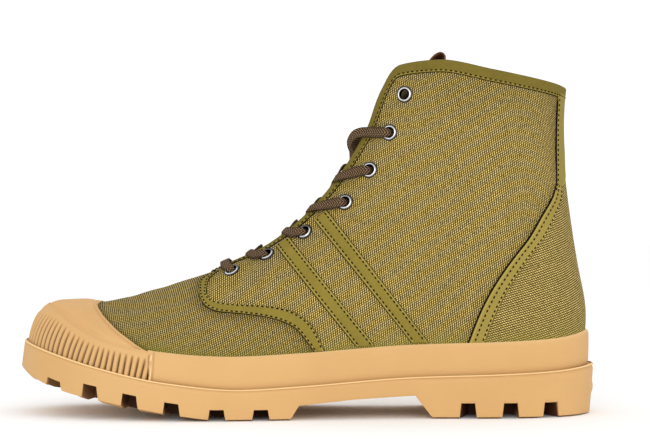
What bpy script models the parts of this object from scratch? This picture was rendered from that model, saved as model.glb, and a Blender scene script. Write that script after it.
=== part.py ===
"""Canvas ankle boot on a lugged rubber sole, one left shoe.

Frame: metres, +Z up, toe at -X, heel at +X, lateral side at -Y, tread on z = 0.
Every size below is in millimetres; MM turns it into metres when a mesh is made.
The upper is one function of two numbers: u runs from the toe tip (0) to the back of
the heel (1) and v from the sole (0) to the top edge (1).  Each side of the shoe has its
own meridians, cubic curves from the sole's outline to the ridge, throat or collar.
"""
import math

import bmesh
import bpy
import numpy as np
from mathutils import Matrix
from mathutils import Vector

MM = 0.001
LATERAL = -1
MEDIAL = 1
SIDES = {"lateral": LATERAL, "medial": MEDIAL}

GAP = 0.3
WALL = 1.8
TAPE_GAP = 0.55
TAPE_THICK = 0.6

# Outsole outline, x and y, from the toe round the lateral side to the heel and back
OUTLINE = [
    ("toe apex", -150.0, 4.0),
    ("toe lateral", -140.0, -22.0),
    ("little toe", -112.0, -43.0),
    ("lateral joint", -60.0, -54.0),
    ("lateral waist", 5.0, -46.5),
    ("lateral breast", 60.0, -40.0),
    ("lateral heel", 105.0, -39.5),
    ("heel corner lateral", 137.0, -27.0),
    ("heel back", 150.0, 0.0),
    ("heel corner medial", 137.0, 26.5),
    ("medial heel", 103.0, 37.5),
    ("medial waist", 45.0, 35.0),
    ("medial arch", -20.0, 42.5),
    ("medial joint", -72.0, 51.5),
    ("big toe", -117.0, 44.5),
    ("toe medial", -141.5, 27.5),
]
HEEL_BACK = 8
OUTLINE_STEPS = 60

# Height of the outsole's ledge along the shoe: toe spring in front, heel lift behind
LEDGE = [
    (-150.0, 38.0),
    (-128.0, 32.0),
    (-105.0, 26.0),
    (-70.0, 19.0),
    (-33.0, 15.6),
    (-3.0, 17.0),
    (54.0, 21.0),
    (98.0, 22.4),
    (128.0, 23.8),
    (150.0, 26.0),
]

# Height of the tread's lowest face along the shoe
TREAD = [
    (-150.0, 24.0),
    (-140.0, 18.6),
    (-126.0, 13.6),
    (-104.0, 8.2),
    (-83.0, 4.2),
    (-62.0, 1.3),
    (-45.0, 0.0),
    (150.0, 0.0),
]

# Upper, a row per section: share of the side's outline, inset from it, the top point
# (x, sideways shift, half opening, z), the turn of the section, then how far the lower
# handle rises and flares and the upper handle drops and spreads
SECTION_COLUMNS = ("share", "inset", "top_x", "shift", "half", "top_z", "turn",
                   "rise", "flare", "drop", "spread")
SECTIONS = [
    (0.000, 7.6, -124.0, 4.0, 0.0, 57.3, 0, 11.0, -1.2, 0.0, 11.5),
    (0.085, 7.2, -117.5, 4.0, 0.0, 57.6, 50, 11.0, -0.6, 0.0, 12.5),
    (0.165, 6.6, -107.5, 3.7, 0.0, 57.6, 80, 12.0, 0.3, 0.0, 16.0),
    (0.260, 5.8, -90.0, 3.0, 0.0, 61.4, 90, 18.0, 1.5, 0.0, 23.0),
    (0.350, 5.6, -70.0, 2.2, 0.0, 67.2, 90, 24.0, 2.0, 0.0, 27.0),
    (0.420, 5.6, -51.5, 1.4, 0.0, 72.8, 90, 27.0, 1.5, 0.0, 27.0),
    (0.460, 5.6, -38.0, 1.0, 5.5, 78.3, 90, 29.0, 1.0, 2.5, 22.0),
    (0.500, 5.6, -22.0, 0.6, 8.0, 85.7, 90, 33.0, 0.5, 6.0, 19.0),
    (0.535, 5.6, -7.0, 0.4, 9.0, 96.5, 90, 36.0, 0.0, 11.0, 17.0),
    (0.570, 5.6, 6.0, 0.2, 9.8, 109.0, 92, 39.0, 0.0, 16.0, 15.0),
    (0.612, 5.6, 20.7, 0.0, 10.8, 128.0, 95, 42.0, 0.0, 25.0, 13.0),
    (0.655, 5.6, 32.2, 0.0, 12.2, 148.6, 95, 45.0, 0.0, 34.0, 11.0),
    (0.690, 5.6, 39.2, 0.0, 14.2, 167.5, 95, 47.0, 0.5, 42.0, 9.0),
    (0.722, 5.6, 48.2, 0.0, 19.0, 179.2, 95, 48.0, 0.5, 48.0, 6.0),
    (0.765, 5.6, 68.0, 0.0, 28.5, 181.0, 92, 48.0, 1.0, 50.0, 0.0),
    (0.825, 5.6, 95.0, 0.0, 33.5, 175.6, 92, 48.0, 1.5, 50.0, -3.0),
    (0.895, 5.6, 118.0, 0.0, 27.0, 171.3, 125, 48.0, 2.0, 48.0, -4.5),
    (0.950, 5.6, 130.6, 0.0, 14.5, 169.0, 155, 48.0, 2.5, 46.0, -5.5),
    (1.000, 5.6, 134.8, 0.0, 0.0, 168.3, 180, 48.0, 3.0, 45.0, -6.0),
]
LAST_ROW = len(SECTIONS) - 1
THROAT_ROW = 5
THROAT_U = THROAT_ROW / LAST_ROW
COLUMNS_PER_ROW = [4, 4, 4] + [2] * 13 + [3, 3]
UPPER_LEVELS = (0.0, 0.12, 0.25, 0.39, 0.53, 0.66, 0.78, 0.89, 1.0)

# Sole and rubber
SHOULDER_DROP = 1.4
SHOULDER_IN = 1.6
EDGE_IN = 7.0
EDGE_RISE = 1.6
WALL_TOP_IN = [(0.0, 1.7), (0.2, 0.6), (0.8, 0.3), (1.0, 0.0)]
WALL_FOOT_IN = [(0.0, 0.0), (0.2, 0.4), (0.8, 1.2), (1.0, 2.0)]
SEAM_U = 0.183
SEAM_HALF = 0.001
FOXING_HEIGHT = [(0.18, 15.4), (0.30, 16.0), (0.85, 16.0), (1.0, 17.0)]
FOXING_OUT = 2.8
FOXING_LIP = 1.6
FOXING_ROUND = 1.4
CAP_OUT = 1.8
CAP_CLEAR = 0.012
CAP_BORDER = [(0.125, 1.0), (0.1255, 0.92), (0.126, 0.84), (0.1265, 0.76), (0.128, 0.68),
              (0.133, 0.57), (0.139, 0.49), (0.147, 0.42), (0.160, 0.335), (0.170, 0.276),
              (0.183, 0.235)]
BUMPER_IN = 0.7
BUMPER_LIP = 2.2
BUMPER_VALLEY = 3.3
RIB_HEIGHT = 0.9
RIBS_PER_SIDE = 30
RIB_FADE = 4
BUMPER_BLEND = 0.02
RIB_TOP = [(0.0, 0.46), (0.067, 0.397), (0.096, 0.30), (0.137, 0.201), (0.183, 0.165)]
BEAD_TOP = [(0.0, 0.67), (0.062, 0.532), (0.094, 0.425), (0.123, 0.342), (0.142, 0.275),
            (0.183, 0.228)]
BEAD_OUT = 3.7
INSOLE_IN = 1.2
INSOLE_THICK = 4.0

# Tread grooves: x at the edge, height, inward fan angle in degrees
GROOVES = [
    (-129.8, 4.9, 24.0),
    (-108.9, 7.4, 10.0),
    (-88.4, 7.0, 4.0),
    (-67.1, 6.5, 0.0),
    (-44.5, 5.6, 0.0),
    (-22.5, 5.4, 0.0),
    (81.6, 7.7, 14.0),
    (103.4, 7.7, 0.0),
    (124.8, 7.7, -22.0),
]
GROOVE_TOP = 7.0
GROOVE_BOTTOM = 8.8
GROOVE_LENGTH = 23.0
GROOVE_OUT = 9.0
GROOVE_BELOW = 4.0

# Arch between the tread's rear edge and the heel breast, x and z
ARCH = [(-11.0, -5.0), (-8.0, 0.0), (-3.5, 7.2), (25.0, 9.9), (55.0, 11.6), (64.0, 0.0),
        (67.0, -5.0)]
ARCH_HALF = 70.0

# Eyelets of one side from the top down, x and z in the side view
EYELETS = [(50.3, 164.7), (42.6, 145.2), (32.3, 126.0), (19.7, 109.4), (-1.2, 94.1),
           (-20.8, 82.4), (-38.6, 74.0)]
EYELET_PROFILE = [(4.1, 0.4), (3.4, 1.1), (2.3, 1.0), (2.3, -2.4), (2.8, 0.4)]
EYELET_STEPS = 8
HOLE_RADIUS = 3.15

# Tapes on the upper, both edges of each as x and z in the side view
QUARTER_TAPE = (
    [(-51.5, 71.0), (-55.7, 67.2), (-55.2, 62.5), (-51.9, 56.6), (-44.9, 53.6), (-33.1, 52.6),
     (-17.4, 50.3), (-6.8, 46.2), (0.3, 38.4), (3.6, 33.8)],
    [(-45.6, 73.6), (-50.5, 68.7), (-51.1, 63.3), (-47.3, 58.9), (-34.8, 57.1), (-20.7, 56.4),
     (-9.8, 54.7), (0.3, 49.2), (5.9, 41.6), (9.2, 34.0)],
)
FRONT_STRAP = ([(-14.6, 87.0), (26.1, 36.4)], [(-8.8, 90.6), (34.2, 36.8)])
REAR_STRAP = ([(5.4, 100.8), (54.4, 38.0)], [(10.6, 104.6), (61.8, 38.2)])
COUNTER_SEAM = [(162.0, 129.0), (150.0, 128.4), (135.0, 128.1), (121.0, 128.2), (114.6, 126.8),
                (101.3, 119.3), (90.2, 112.5), (82.7, 106.5), (73.9, 100.0), (64.7, 94.1),
                (54.8, 88.9), (46.6, 85.4), (40.2, 83.0)]
COUNTER_SPLIT = 118.0
COUNTER_TAPE = [(40.0, 6.0), (95.0, 6.2), (118.0, 3.6)]

# Binding round the throat and collar
BINDING_GAP = 0.5
BINDING_THICK = 0.6
BINDING_DEEP = [(0.28, 3.6), (0.70, 4.4), (0.78, 5.6), (1.0, 5.6)]
BINDING_INSIDE = 4.0

# Tongue rows: u, offset under the upper, lean to the rear, lift, outermost v, crown
TONGUE = [
    (0.235, -2.3, 0.0, 0.0, 0.80, 0.0),
    (0.262, -2.5, 0.0, 0.0, 0.79, 0.0),
    (0.295, -4.2, 0.0, 0.0, 0.77, 0.0),
    (0.340, -4.2, 0.0, 0.0, 0.76, 0.4),
    (0.390, -3.8, 0.0, 0.0, 0.76, 0.8),
    (0.440, -3.7, 0.0, 0.0, 0.76, 0.8),
    (0.490, -3.7, 0.0, 0.0, 0.78, 0.8),
    (0.540, -3.7, 0.4, 0.0, 0.80, 0.8),
    (0.590, -3.7, 1.6, 0.0, 0.82, 0.8),
    (0.635, -3.7, 4.0, 0.0, 0.84, 0.8),
    (0.675, -3.7, 8.0, 0.6, 0.86, 0.8),
    (0.705, -3.7, 13.0, 2.0, 0.88, 0.8),
    (0.722, -3.7, 17.5, 4.6, 0.89, 0.8),
]
TONGUE_THICK = 1.6
LOOP_WIDE = 14.0
LOOP_THICK = 1.0
LOOP_LINE = [(2.1, -8.0), (2.1, -1.0), (3.5, 1.6), (3.6, 2.8), (2.3, 4.3), (0.0, 4.9), (-2.3, 4.3),
             (-3.6, 2.8), (-3.5, 1.6), (-2.1, -1.0), (-2.1, -8.0)]

# Lace: crossing points on the throat for the rows below the top pair, x, z and extra lift
LACE_WIDE = 5.2
LACE_THICK = 1.2
LACE_LIFT = 2.7
LACE_UP = np.array([-0.75, 0.0, 0.66])
LACE_BAR_UP = np.array([-0.4, 0.0, 0.92])
LACE_SINK = 0.45
LACE_END_IN = 4.5
LACE_END_UP = 0.6
LACE_CROSSINGS = [(26.5, 140.8, 3.2), (16.1, 124.7, 1.2), (2.7, 107.0, 1.0),
                  (-10.0, 96.1, 1.0), (-29.0, 84.6, 1.0)]

COLOURS = {
    "rubber_tan": ((0.70, 0.43, 0.17), 0.6),
    "canvas_olive": ((0.19, 0.14, 0.042), 0.9),
    "tape_olive": ((0.21, 0.18, 0.035), 0.8),
    "lace_brown": ((0.075, 0.050, 0.036), 0.85),
    "eyelet_metal": ((0.35, 0.35, 0.36), 0.3),
    "insole_cloth": ((0.45, 0.38, 0.25), 0.9),
    "loop_tape": ((0.20, 0.10, 0.045), 0.8),
}


def pchip(knots, values, at):
    """Monotone cubic through the knots; values may have several columns."""
    knots = np.asarray(knots, float)
    values = np.asarray(values, float).reshape(len(knots), -1)
    at = np.clip(np.asarray(at, float), knots[0], knots[-1])
    step = np.diff(knots)[:, None]
    rate = np.diff(values, axis=0) / step
    slope = np.zeros_like(values)
    slope[0] = rate[0]
    slope[-1] = rate[-1]
    near = 2 * step[1:] + step[:-1]
    far = step[1:] + 2 * step[:-1]
    same = rate[:-1] * rate[1:] > 0
    safe_a = np.where(same, rate[:-1], 1.0)
    safe_b = np.where(same, rate[1:], 1.0)
    slope[1:-1] = np.where(same, (near + far) / (near / safe_a + far / safe_b), 0.0)
    i = np.clip(np.searchsorted(knots, at, side="right") - 1, 0, len(knots) - 2)
    h = step[i, 0][..., None]
    t = (at - knots[i])[..., None] / h
    return ((1 + 2 * t) * (1 - t) ** 2 * values[i] + t * (1 - t) ** 2 * h * slope[i]
            + t * t * (3 - 2 * t) * values[i + 1] + t * t * (t - 1) * h * slope[i + 1])


def table(rows, at):
    """Value of a two-column table at a place."""
    rows = np.asarray(rows, float)
    return pchip(rows[:, 0], rows[:, 1], at)[..., 0]


def closed_spline(points, steps):
    """Periodic cubic spline through the points with chord-length knots."""
    p = np.asarray(points, float)
    count = len(p)
    after = np.roll(p, -1, axis=0)
    before = np.roll(p, 1, axis=0)
    h = np.linalg.norm(after - p, axis=1)
    h_before = np.roll(h, 1)
    system = np.zeros((count, count))
    row = np.arange(count)
    system[row, row - 1] += h_before
    system[row, row] += 2 * (h_before + h)
    system[row, (row + 1) % count] += h
    bend = np.linalg.solve(system, 6 * ((after - p) / h[:, None] - (p - before) / h_before[:, None]))
    bend_after = np.roll(bend, -1, axis=0)
    t = np.linspace(0.0, 1.0, steps, endpoint=False)[None, :, None]
    h = h[:, None, None]
    a = t * h
    b = h - a
    curve = (bend[:, None] * b ** 3 / (6 * h) + bend_after[:, None] * a ** 3 / (6 * h)
             + (p[:, None] / h - bend[:, None] * h / 6) * b
             + (after[:, None] / h - bend_after[:, None] * h / 6) * a)
    return curve.reshape(-1, p.shape[1])


class Outline:
    """Edge of the outsole: a point and its outward normal by share of a side's length."""

    def __init__(self):
        ring = closed_spline([row[1:] for row in OUTLINE], OUTLINE_STEPS)
        ring = ring - (ring.max(axis=0) + ring.min(axis=0)) / 2
        heel = HEEL_BACK * OUTLINE_STEPS
        self.lines = {LATERAL: ring[:heel + 1],
                      MEDIAL: np.concatenate([ring[heel:], ring[:1]])[::-1]}

    def at(self, side, share, inset):
        line = self.lines[side]
        length = np.concatenate([[0.0], np.cumsum(np.linalg.norm(np.diff(line, axis=0), axis=1))])
        length = length / length[-1]
        along = np.gradient(line, length, axis=0)
        along[0] = (0.0, side)
        along[-1] = (0.0, -side)
        along /= np.linalg.norm(along, axis=1)[:, None]
        outward = np.stack([along[:, 1], -along[:, 0]], axis=1) * -side
        spot = np.stack([np.interp(share, length, line[:, k]) for k in (0, 1)], axis=-1)
        out = np.stack([np.interp(share, length, outward[:, k]) for k in (0, 1)], axis=-1)
        out = out / np.linalg.norm(out, axis=-1, keepdims=True)
        return spot - out * np.asarray(inset)[..., None], out


def ledge(x):
    return table(LEDGE, x)


def tread(x):
    return table(TREAD, x)


def section(u):
    """Row values at u; mirrored rows past both ends keep the toe and heel smooth."""
    rows = np.asarray(SECTIONS, float)
    mirror = np.array([-1.0 if name in ("share", "half", "turn") else 1.0 for name in SECTION_COLUMNS])
    past = np.array([{"share": 2.0, "turn": 360.0}.get(name, 0.0) for name in SECTION_COLUMNS])
    rows = np.concatenate([rows[1:2] * mirror, rows, rows[-2:-1] * mirror + past])
    knots = np.arange(-1, LAST_ROW + 2) / LAST_ROW
    values = pchip(knots, rows, u)
    return {name: values[..., i] for i, name in enumerate(SECTION_COLUMNS)}


class Upper:
    """The canvas upper's outer face as a function of side, u and v."""

    def __init__(self, outline):
        self.outline = outline
        self.u_grid, self.v_grid = np.meshgrid(np.linspace(0, 1, 241), np.linspace(0, 1, 101),
                                               indexing="ij")
        self.samples = {side: self.face(side, self.u_grid, self.v_grid) for side in SIDES.values()}

    def face(self, side, u, v):
        """(1-v)^3 P0 + 3(1-v)^2 v P1 + 3(1-v) v^2 P2 + v^3 P3 with P0 on the sole."""
        u, v = np.broadcast_arrays(np.asarray(u, float), np.asarray(v, float))
        row = section(u)
        spot, out = self.outline.at(side, row["share"], row["inset"])
        level = 0.0 * u
        up = np.array([0.0, 0.0, 1.0])
        foot = np.stack([spot[..., 0], spot[..., 1], ledge(spot[..., 0]) + GAP], axis=-1)
        out = np.stack([out[..., 0], out[..., 1], level], axis=-1)
        turn = np.radians(row["turn"])
        aside = np.stack([-np.cos(turn), side * np.sin(turn), level], axis=-1)
        top = np.stack([row["top_x"], row["shift"] + side * row["half"], row["top_z"]], axis=-1)
        low = foot + out * row["flare"][..., None] + up * row["rise"][..., None]
        high = top + aside * row["spread"][..., None] - up * row["drop"][..., None]
        v = v[..., None]
        return (1 - v) ** 3 * foot + 3 * (1 - v) ** 2 * v * low + 3 * (1 - v) * v * v * high + v ** 3 * top

    def carried(self, side, u, v):
        """The face carried on past the toe, heel and vamp ridge onto the other side."""
        flip = (u < 0) | (u > 1)
        u = np.where(u < 0, -u, np.where(u > 1, 2 - u, u))
        over = (v > 1) & (u < THROAT_U)
        v = np.where(over, 2 - v, v)
        return np.where((flip ^ over)[..., None], self.face(-side, u, v), self.face(side, u, v))

    def slant(self, side, u, v):
        """Outward normal from central differences, not yet of unit length."""
        reach = 0.002
        below = np.where(v - reach < 0, v, v - reach)
        above = np.where((v + reach > 1) & (u >= THROAT_U), v, v + reach)
        along = self.carried(side, u + reach, v) - self.carried(side, u - reach, v)
        upward = self.carried(side, u, above) - self.carried(side, u, below)
        out = np.cross(along, upward) * -side
        return out / np.linalg.norm(out, axis=-1, keepdims=True)

    def normal(self, side, u, v):
        """Unit outward normal; by the toe's ridge, where u and v run together, both sides' mean."""
        u, v = np.broadcast_arrays(np.asarray(u, float), np.asarray(v, float))
        corner = (u < 0.03) & (v > 0.975)
        v = np.where(corner, 0.975, v)
        out = self.slant(side, u, v)
        out = np.where(corner[..., None], out + self.slant(-side, u, v), out)
        return out / np.linalg.norm(out, axis=-1, keepdims=True)

    def at(self, side, u, v, offset=0.0):
        """Point at u, v moved outward by the offset."""
        return self.face(side, u, v) + np.asarray(offset)[..., None] * self.normal(side, u, v)

    def find(self, side, x, z):
        """u and v of the point seen at x, z in the side view, by Newton steps."""
        cloud = self.samples[side]
        near = np.argmin((cloud[..., 0] - x) ** 2 + (cloud[..., 2] - z) ** 2)
        u = self.u_grid.flat[near]
        v = self.v_grid.flat[near]
        for _ in range(8):
            here = self.face(side, u, v)
            u_low, u_high = max(u - 1e-4, 0.0), min(u + 1e-4, 1.0)
            v_low, v_high = max(v - 1e-4, 0.0), min(v + 1e-4, 1.0)
            by_u = (self.face(side, u_high, v) - self.face(side, u_low, v)) / (u_high - u_low)
            by_v = (self.face(side, u, v_high) - self.face(side, u, v_low)) / (v_high - v_low)
            slope = np.array([[by_u[0], by_v[0]], [by_u[2], by_v[2]]])
            move = np.linalg.lstsq(slope, np.array([x - here[0], z - here[2]]), rcond=None)[0]
            u = float(np.clip(u + np.clip(move[0], -0.02, 0.02), 0.0, 1.0))
            v = float(np.clip(v + np.clip(move[1], -0.02, 0.02), 0.0, 1.0))
        return u, v

    def v_at_height(self, side, u, height):
        """v where the meridian stands the given height above the ledge at its foot."""
        levels = np.linspace(0.0, 1.0, 201)
        z = self.face(side, u, levels)[..., 2]
        z = np.maximum.accumulate(z - z[0] + GAP)
        return float(np.interp(height, z, levels))

    def v_below_top(self, side, u, distance):
        """v at a distance along the meridian below its top edge."""
        levels = np.linspace(0.5, 1.0, 101)
        points = self.face(side, u, levels)
        run = np.concatenate([[0.0], np.cumsum(np.linalg.norm(np.diff(points, axis=0), axis=1))])
        return float(np.interp(run[-1] - distance, run, levels))


def start_scene():
    for item in list(bpy.data.objects):
        bpy.data.objects.remove(item, do_unlink=True)
    for group in list(bpy.data.collections):
        bpy.data.collections.remove(group)
    parts = bpy.data.collections.new("canvas_boot")
    cutters = bpy.data.collections.new("cutters")
    holes = bpy.data.collections.new("eyelet_holes")
    bpy.context.scene.collection.children.link(parts)
    bpy.context.scene.collection.children.link(cutters)
    cutters.children.link(holes)
    return parts, cutters, holes


PARTS, CUTTERS, HOLES = start_scene()
OUTSOLE_EDGE = Outline()
LAST = Upper(OUTSOLE_EDGE)


def material(name):
    found = bpy.data.materials.get(name)
    if found:
        return found
    colour, rough = COLOURS[name]
    made = bpy.data.materials.new(name)
    made.use_nodes = True
    shader = made.node_tree.nodes["Principled BSDF"]
    shader.inputs["Base Color"].default_value = (*colour, 1.0)
    shader.inputs["Roughness"].default_value = rough
    shader.inputs["Metallic"].default_value = 1.0 if name == "eyelet_metal" else 0.0
    return made


def add_mesh(name, vertices, faces, kind):
    """Object from millimetre vertices with outward faces, in the parts collection."""
    mesh = bpy.data.meshes.new(name)
    mesh.from_pydata([tuple(MM * float(c) for c in v) for v in vertices], [], faces)
    shape = bmesh.new()
    shape.from_mesh(mesh)
    bmesh.ops.recalc_face_normals(shape, faces=shape.faces)
    shape.to_mesh(mesh)
    shape.free()
    mesh.materials.append(material(kind))
    item = bpy.data.objects.new(name, mesh)
    PARTS.objects.link(item)
    return item


def as_cutter(item, group):
    PARTS.objects.unlink(item)
    group.objects.link(item)
    item.hide_render = True
    item.display_type = "WIRE"
    return item


def loft(name, rings, kind, closed=False):
    """Solid from closed section rings, one after the other, with flat ends unless closed."""
    rings = np.asarray(rings)
    count, size = rings.shape[:2]
    faces = []
    for i in range(count if closed else count - 1):
        j = (i + 1) % count
        for k in range(size):
            m = (k + 1) % size
            faces.append((i * size + k, i * size + m, j * size + m, j * size + k))
    if not closed:
        faces.append(tuple(range(size)))
        faces.append(tuple((count - 1) * size + k for k in range(size)))
    return add_mesh(name, rings.reshape(-1, 3), faces, kind)


def sheet(name, near, far, kind):
    """Closed shell between two matching lists of point grids, joined where points coincide."""
    index = {}
    inside = []
    outside = []
    faces = []

    def number(grid, other, i, j):
        key = tuple(round(float(c), 3) for c in grid[i][j])
        if key not in index:
            index[key] = len(inside)
            inside.append(grid[i][j])
            outside.append(other[i][j])
        return index[key]

    for grid, other in zip(near, far):
        for i in range(len(grid) - 1):
            for j in range(len(grid[i]) - 1):
                corners = [number(grid, other, i + a, j + b) for a, b in ((0, 0), (1, 0), (1, 1), (0, 1))]
                ring = tuple(dict.fromkeys(corners))
                if len(ring) > 2:
                    faces.append(ring)
    count = len(inside)
    edges = {}
    for face in faces:
        for a, b in zip(face, face[1:] + face[:1]):
            edges[frozenset((a, b))] = edges.get(frozenset((a, b)), 0) + 1
    rim = [tuple(edge) for edge, uses in edges.items() if uses == 1]
    solid = faces + [tuple(count + c for c in face) for face in faces]
    solid += [(a, b, count + b, count + a) for a, b in rim]
    return add_mesh(name, inside + outside, solid, kind)


def upper_columns():
    """u of each column of faces, closer together round the toe and heel."""
    found = [0.0]
    for row, steps in enumerate(COLUMNS_PER_ROW):
        for k in range(1, steps + 1):
            found.append((row + k / steps) / LAST_ROW)
    return np.array(found)


U_COLUMNS = upper_columns()


def both_ways(values):
    """Sides and u values from the lateral end round the heel to the medial end."""
    return [(LATERAL, u) for u in values] + [(MEDIAL, u) for u in values[::-1] if u < 1.0]


def build_outsole():
    share = section(U_COLUMNS)["share"]
    stations = [(LATERAL, s) for s in share] + [(MEDIAL, s) for s in share[::-1][1:-1]]

    def ring(inset_of, height_of):
        points = []
        for side, s in stations:
            spot, _ = OUTSOLE_EDGE.at(side, s, inset_of(s))
            points.append((spot[0], spot[1], height_of(spot[0])))
        return points

    rings = [
        ring(lambda s: table(WALL_TOP_IN, s) + SHOULDER_IN, ledge),
        ring(lambda s: table(WALL_TOP_IN, s), lambda x: ledge(x) - SHOULDER_DROP),
        ring(lambda s: table(WALL_FOOT_IN, s), lambda x: tread(x) + EDGE_RISE),
        ring(lambda s: table(WALL_FOOT_IN, s) + EDGE_IN, tread),
    ]
    size = len(stations)
    half = len(share) - 1
    faces = []
    for level in range(len(rings) - 1):
        for k in range(size):
            m = (k + 1) % size
            faces.append((level * size + k, level * size + m, (level + 1) * size + m,
                          (level + 1) * size + k))
    for base in (0, (len(rings) - 1) * size):
        for k in range(half):
            corners = (base + k, base + k + 1, base + (size - k - 1) % size, base + (size - k) % size)
            faces.append(tuple(dict.fromkeys(corners)))
    body = add_mesh("outsole", np.concatenate([np.array(r) for r in rings]), faces, "rubber_tan")

    arch = [(x, y, z) for y in (-ARCH_HALF, ARCH_HALF) for x, z in ARCH]
    count = len(ARCH)
    sides = [(k, (k + 1) % count, count + (k + 1) % count, count + k) for k in range(count)]
    sides += [tuple(range(count)), tuple(range(count, 2 * count))]
    cutters = [as_cutter(add_mesh("arch_cut", arch, sides, "rubber_tan"), CUTTERS)]
    for n, (x, height, fan) in enumerate(GROOVES):
        for label, side in SIDES.items():
            cutters.append(groove_cutter("groove_%s_%d" % (label, n + 1), side, x, height, fan))
    for item in cutters:
        cut = body.modifiers.new(item.name, "BOOLEAN")
        cut.operation = "DIFFERENCE"
        cut.solver = "EXACT"
        cut.object = item
    return body


def groove_cutter(name, side, x, height, fan):
    """Tapered bar that cuts one groove in from the edge of the tread."""
    line = OUTSOLE_EDGE.lines[side]
    edge_y = line[np.argmin(np.abs(line[:, 0] - x)), 1]
    reach = GROOVE_TOP / 2
    slope = math.atan2(tread(x + reach) - tread(x - reach), 2 * reach)
    wide = GROOVE_BOTTOM + (GROOVE_BOTTOM - GROOVE_TOP) * GROOVE_BELOW / height
    corners = [(sx * w / 2, y, z) for w, z in ((wide, -GROOVE_BELOW), (GROOVE_TOP, height))
               for y in (-GROOVE_OUT, GROOVE_LENGTH) for sx in (-1, 1)]
    faces = [(0, 1, 3, 2), (4, 5, 7, 6), (0, 1, 5, 4), (2, 3, 7, 6), (0, 2, 6, 4), (1, 3, 7, 5)]
    turn = Matrix.Rotation(math.radians(fan) * side, 3, "Z") @ Matrix.Rotation(-slope, 3, "Y")
    place = []
    for cx, cy, cz in corners:
        p = turn @ Vector((cx, -side * cy, cz))
        place.append((p.x + x, p.y + edge_y, p.z + tread(x)))
    return as_cutter(add_mesh(name, place, faces, "rubber_tan"), CUTTERS)


def build_insole():
    share = section(U_COLUMNS)["share"][::2]
    inset = section(U_COLUMNS)["inset"][::2] + WALL + INSOLE_IN
    low = []
    for side, order in ((LATERAL, range(len(share))), (MEDIAL, range(len(share) - 2, 0, -1))):
        for k in order:
            spot, _ = OUTSOLE_EDGE.at(side, share[k], inset[k])
            low.append((spot[0], spot[1], ledge(spot[0]) + GAP))
    low = np.array(low)
    high = low + (0.0, 0.0, INSOLE_THICK)
    size = len(low)
    half = len(share) - 1
    faces = [(k, (k + 1) % size, size + (k + 1) % size, size + k) for k in range(size)]
    for base in (0, size):
        for k in range(half):
            corners = (base + k, base + k + 1, base + (size - k - 1) % size, base + (size - k) % size)
            faces.append(tuple(dict.fromkeys(corners)))
    return add_mesh("insole", np.concatenate([low, high]), faces, "insole_cloth")


def build_upper():
    u = U_COLUMNS[:, None]
    v = np.array(UPPER_LEVELS)[None, :]
    near = [LAST.at(side, u, v, -WALL) for side in SIDES.values()]
    far = [LAST.face(side, u, v) for side in SIDES.values()]
    item = sheet("upper", near, far, "canvas_olive")
    cut = item.modifiers.new("eyelet_holes", "BOOLEAN")
    cut.operation = "DIFFERENCE"
    cut.solver = "EXACT"
    cut.operand_type = "COLLECTION"
    cut.collection = HOLES
    return item


def turned_frame(side, u, v):
    """Matrix, in metres, that stands +Z on the upper's face at u, v."""
    out = Vector(LAST.normal(side, u, v))
    spot = Vector(LAST.face(side, u, v)) * MM
    return Matrix.Translation(spot) @ out.to_track_quat("Z", "Y").to_matrix().to_4x4()


def build_eyelets():
    for label, side in SIDES.items():
        for n, (x, z) in enumerate(EYELETS):
            u, v = LAST.find(side, x, z)
            stand = turned_frame(side, u, v)
            count = len(EYELET_PROFILE)
            rings = [[(r * math.cos(a), r * math.sin(a), h) for r, h in EYELET_PROFILE]
                     for a in np.linspace(0, 2 * math.pi, EYELET_STEPS, endpoint=False)]
            item = loft("eyelet_%s_%d" % (label, n + 1), np.array(rings).reshape(-1, count, 3),
                        "eyelet_metal", closed=True)
            item.data.transform(stand)
            shape = bmesh.new()
            bmesh.ops.create_cone(shape, cap_ends=True, segments=EYELET_STEPS, depth=10.0 * MM,
                                  radius1=HOLE_RADIUS * MM, radius2=HOLE_RADIUS * MM)
            mesh = bpy.data.meshes.new("hole_%s_%d" % (label, n + 1))
            shape.to_mesh(mesh)
            shape.free()
            mesh.transform(stand)
            hole = bpy.data.objects.new(mesh.name, mesh)
            HOLES.objects.link(hole)
            hole.hide_render = True
            hole.display_type = "WIRE"


def foot(side, u, offset):
    """Point of a strip's lower edge, just clear of the outsole's ledge."""
    spot = LAST.at(side, u, 0.0, offset)
    spot[2] = ledge(spot[0]) + GAP
    return spot


def build_foxing():
    """Smooth rubber band round the shoe behind the bumper, its middle on a level of the upper."""
    columns = np.concatenate([[SEAM_U + SEAM_HALF], U_COLUMNS[U_COLUMNS > SEAM_U + 4 * SEAM_HALF]])
    rings = []
    for side, u in both_ways(columns):
        height = table(FOXING_HEIGHT, u)
        top = LAST.v_at_height(side, u, height)
        low = LAST.v_at_height(side, u, height - FOXING_ROUND)
        middle = UPPER_LEVELS[1] if top > 1.25 * UPPER_LEVELS[1] else top / 2
        rings.append([foot(side, u, TAPE_GAP), LAST.at(side, u, middle, TAPE_GAP),
                      LAST.at(side, u, top, TAPE_GAP), LAST.at(side, u, top, FOXING_LIP),
                      LAST.at(side, u, low, FOXING_OUT), foot(side, u, FOXING_OUT)])
    return loft("foxing", rings, "rubber_tan")


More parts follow.
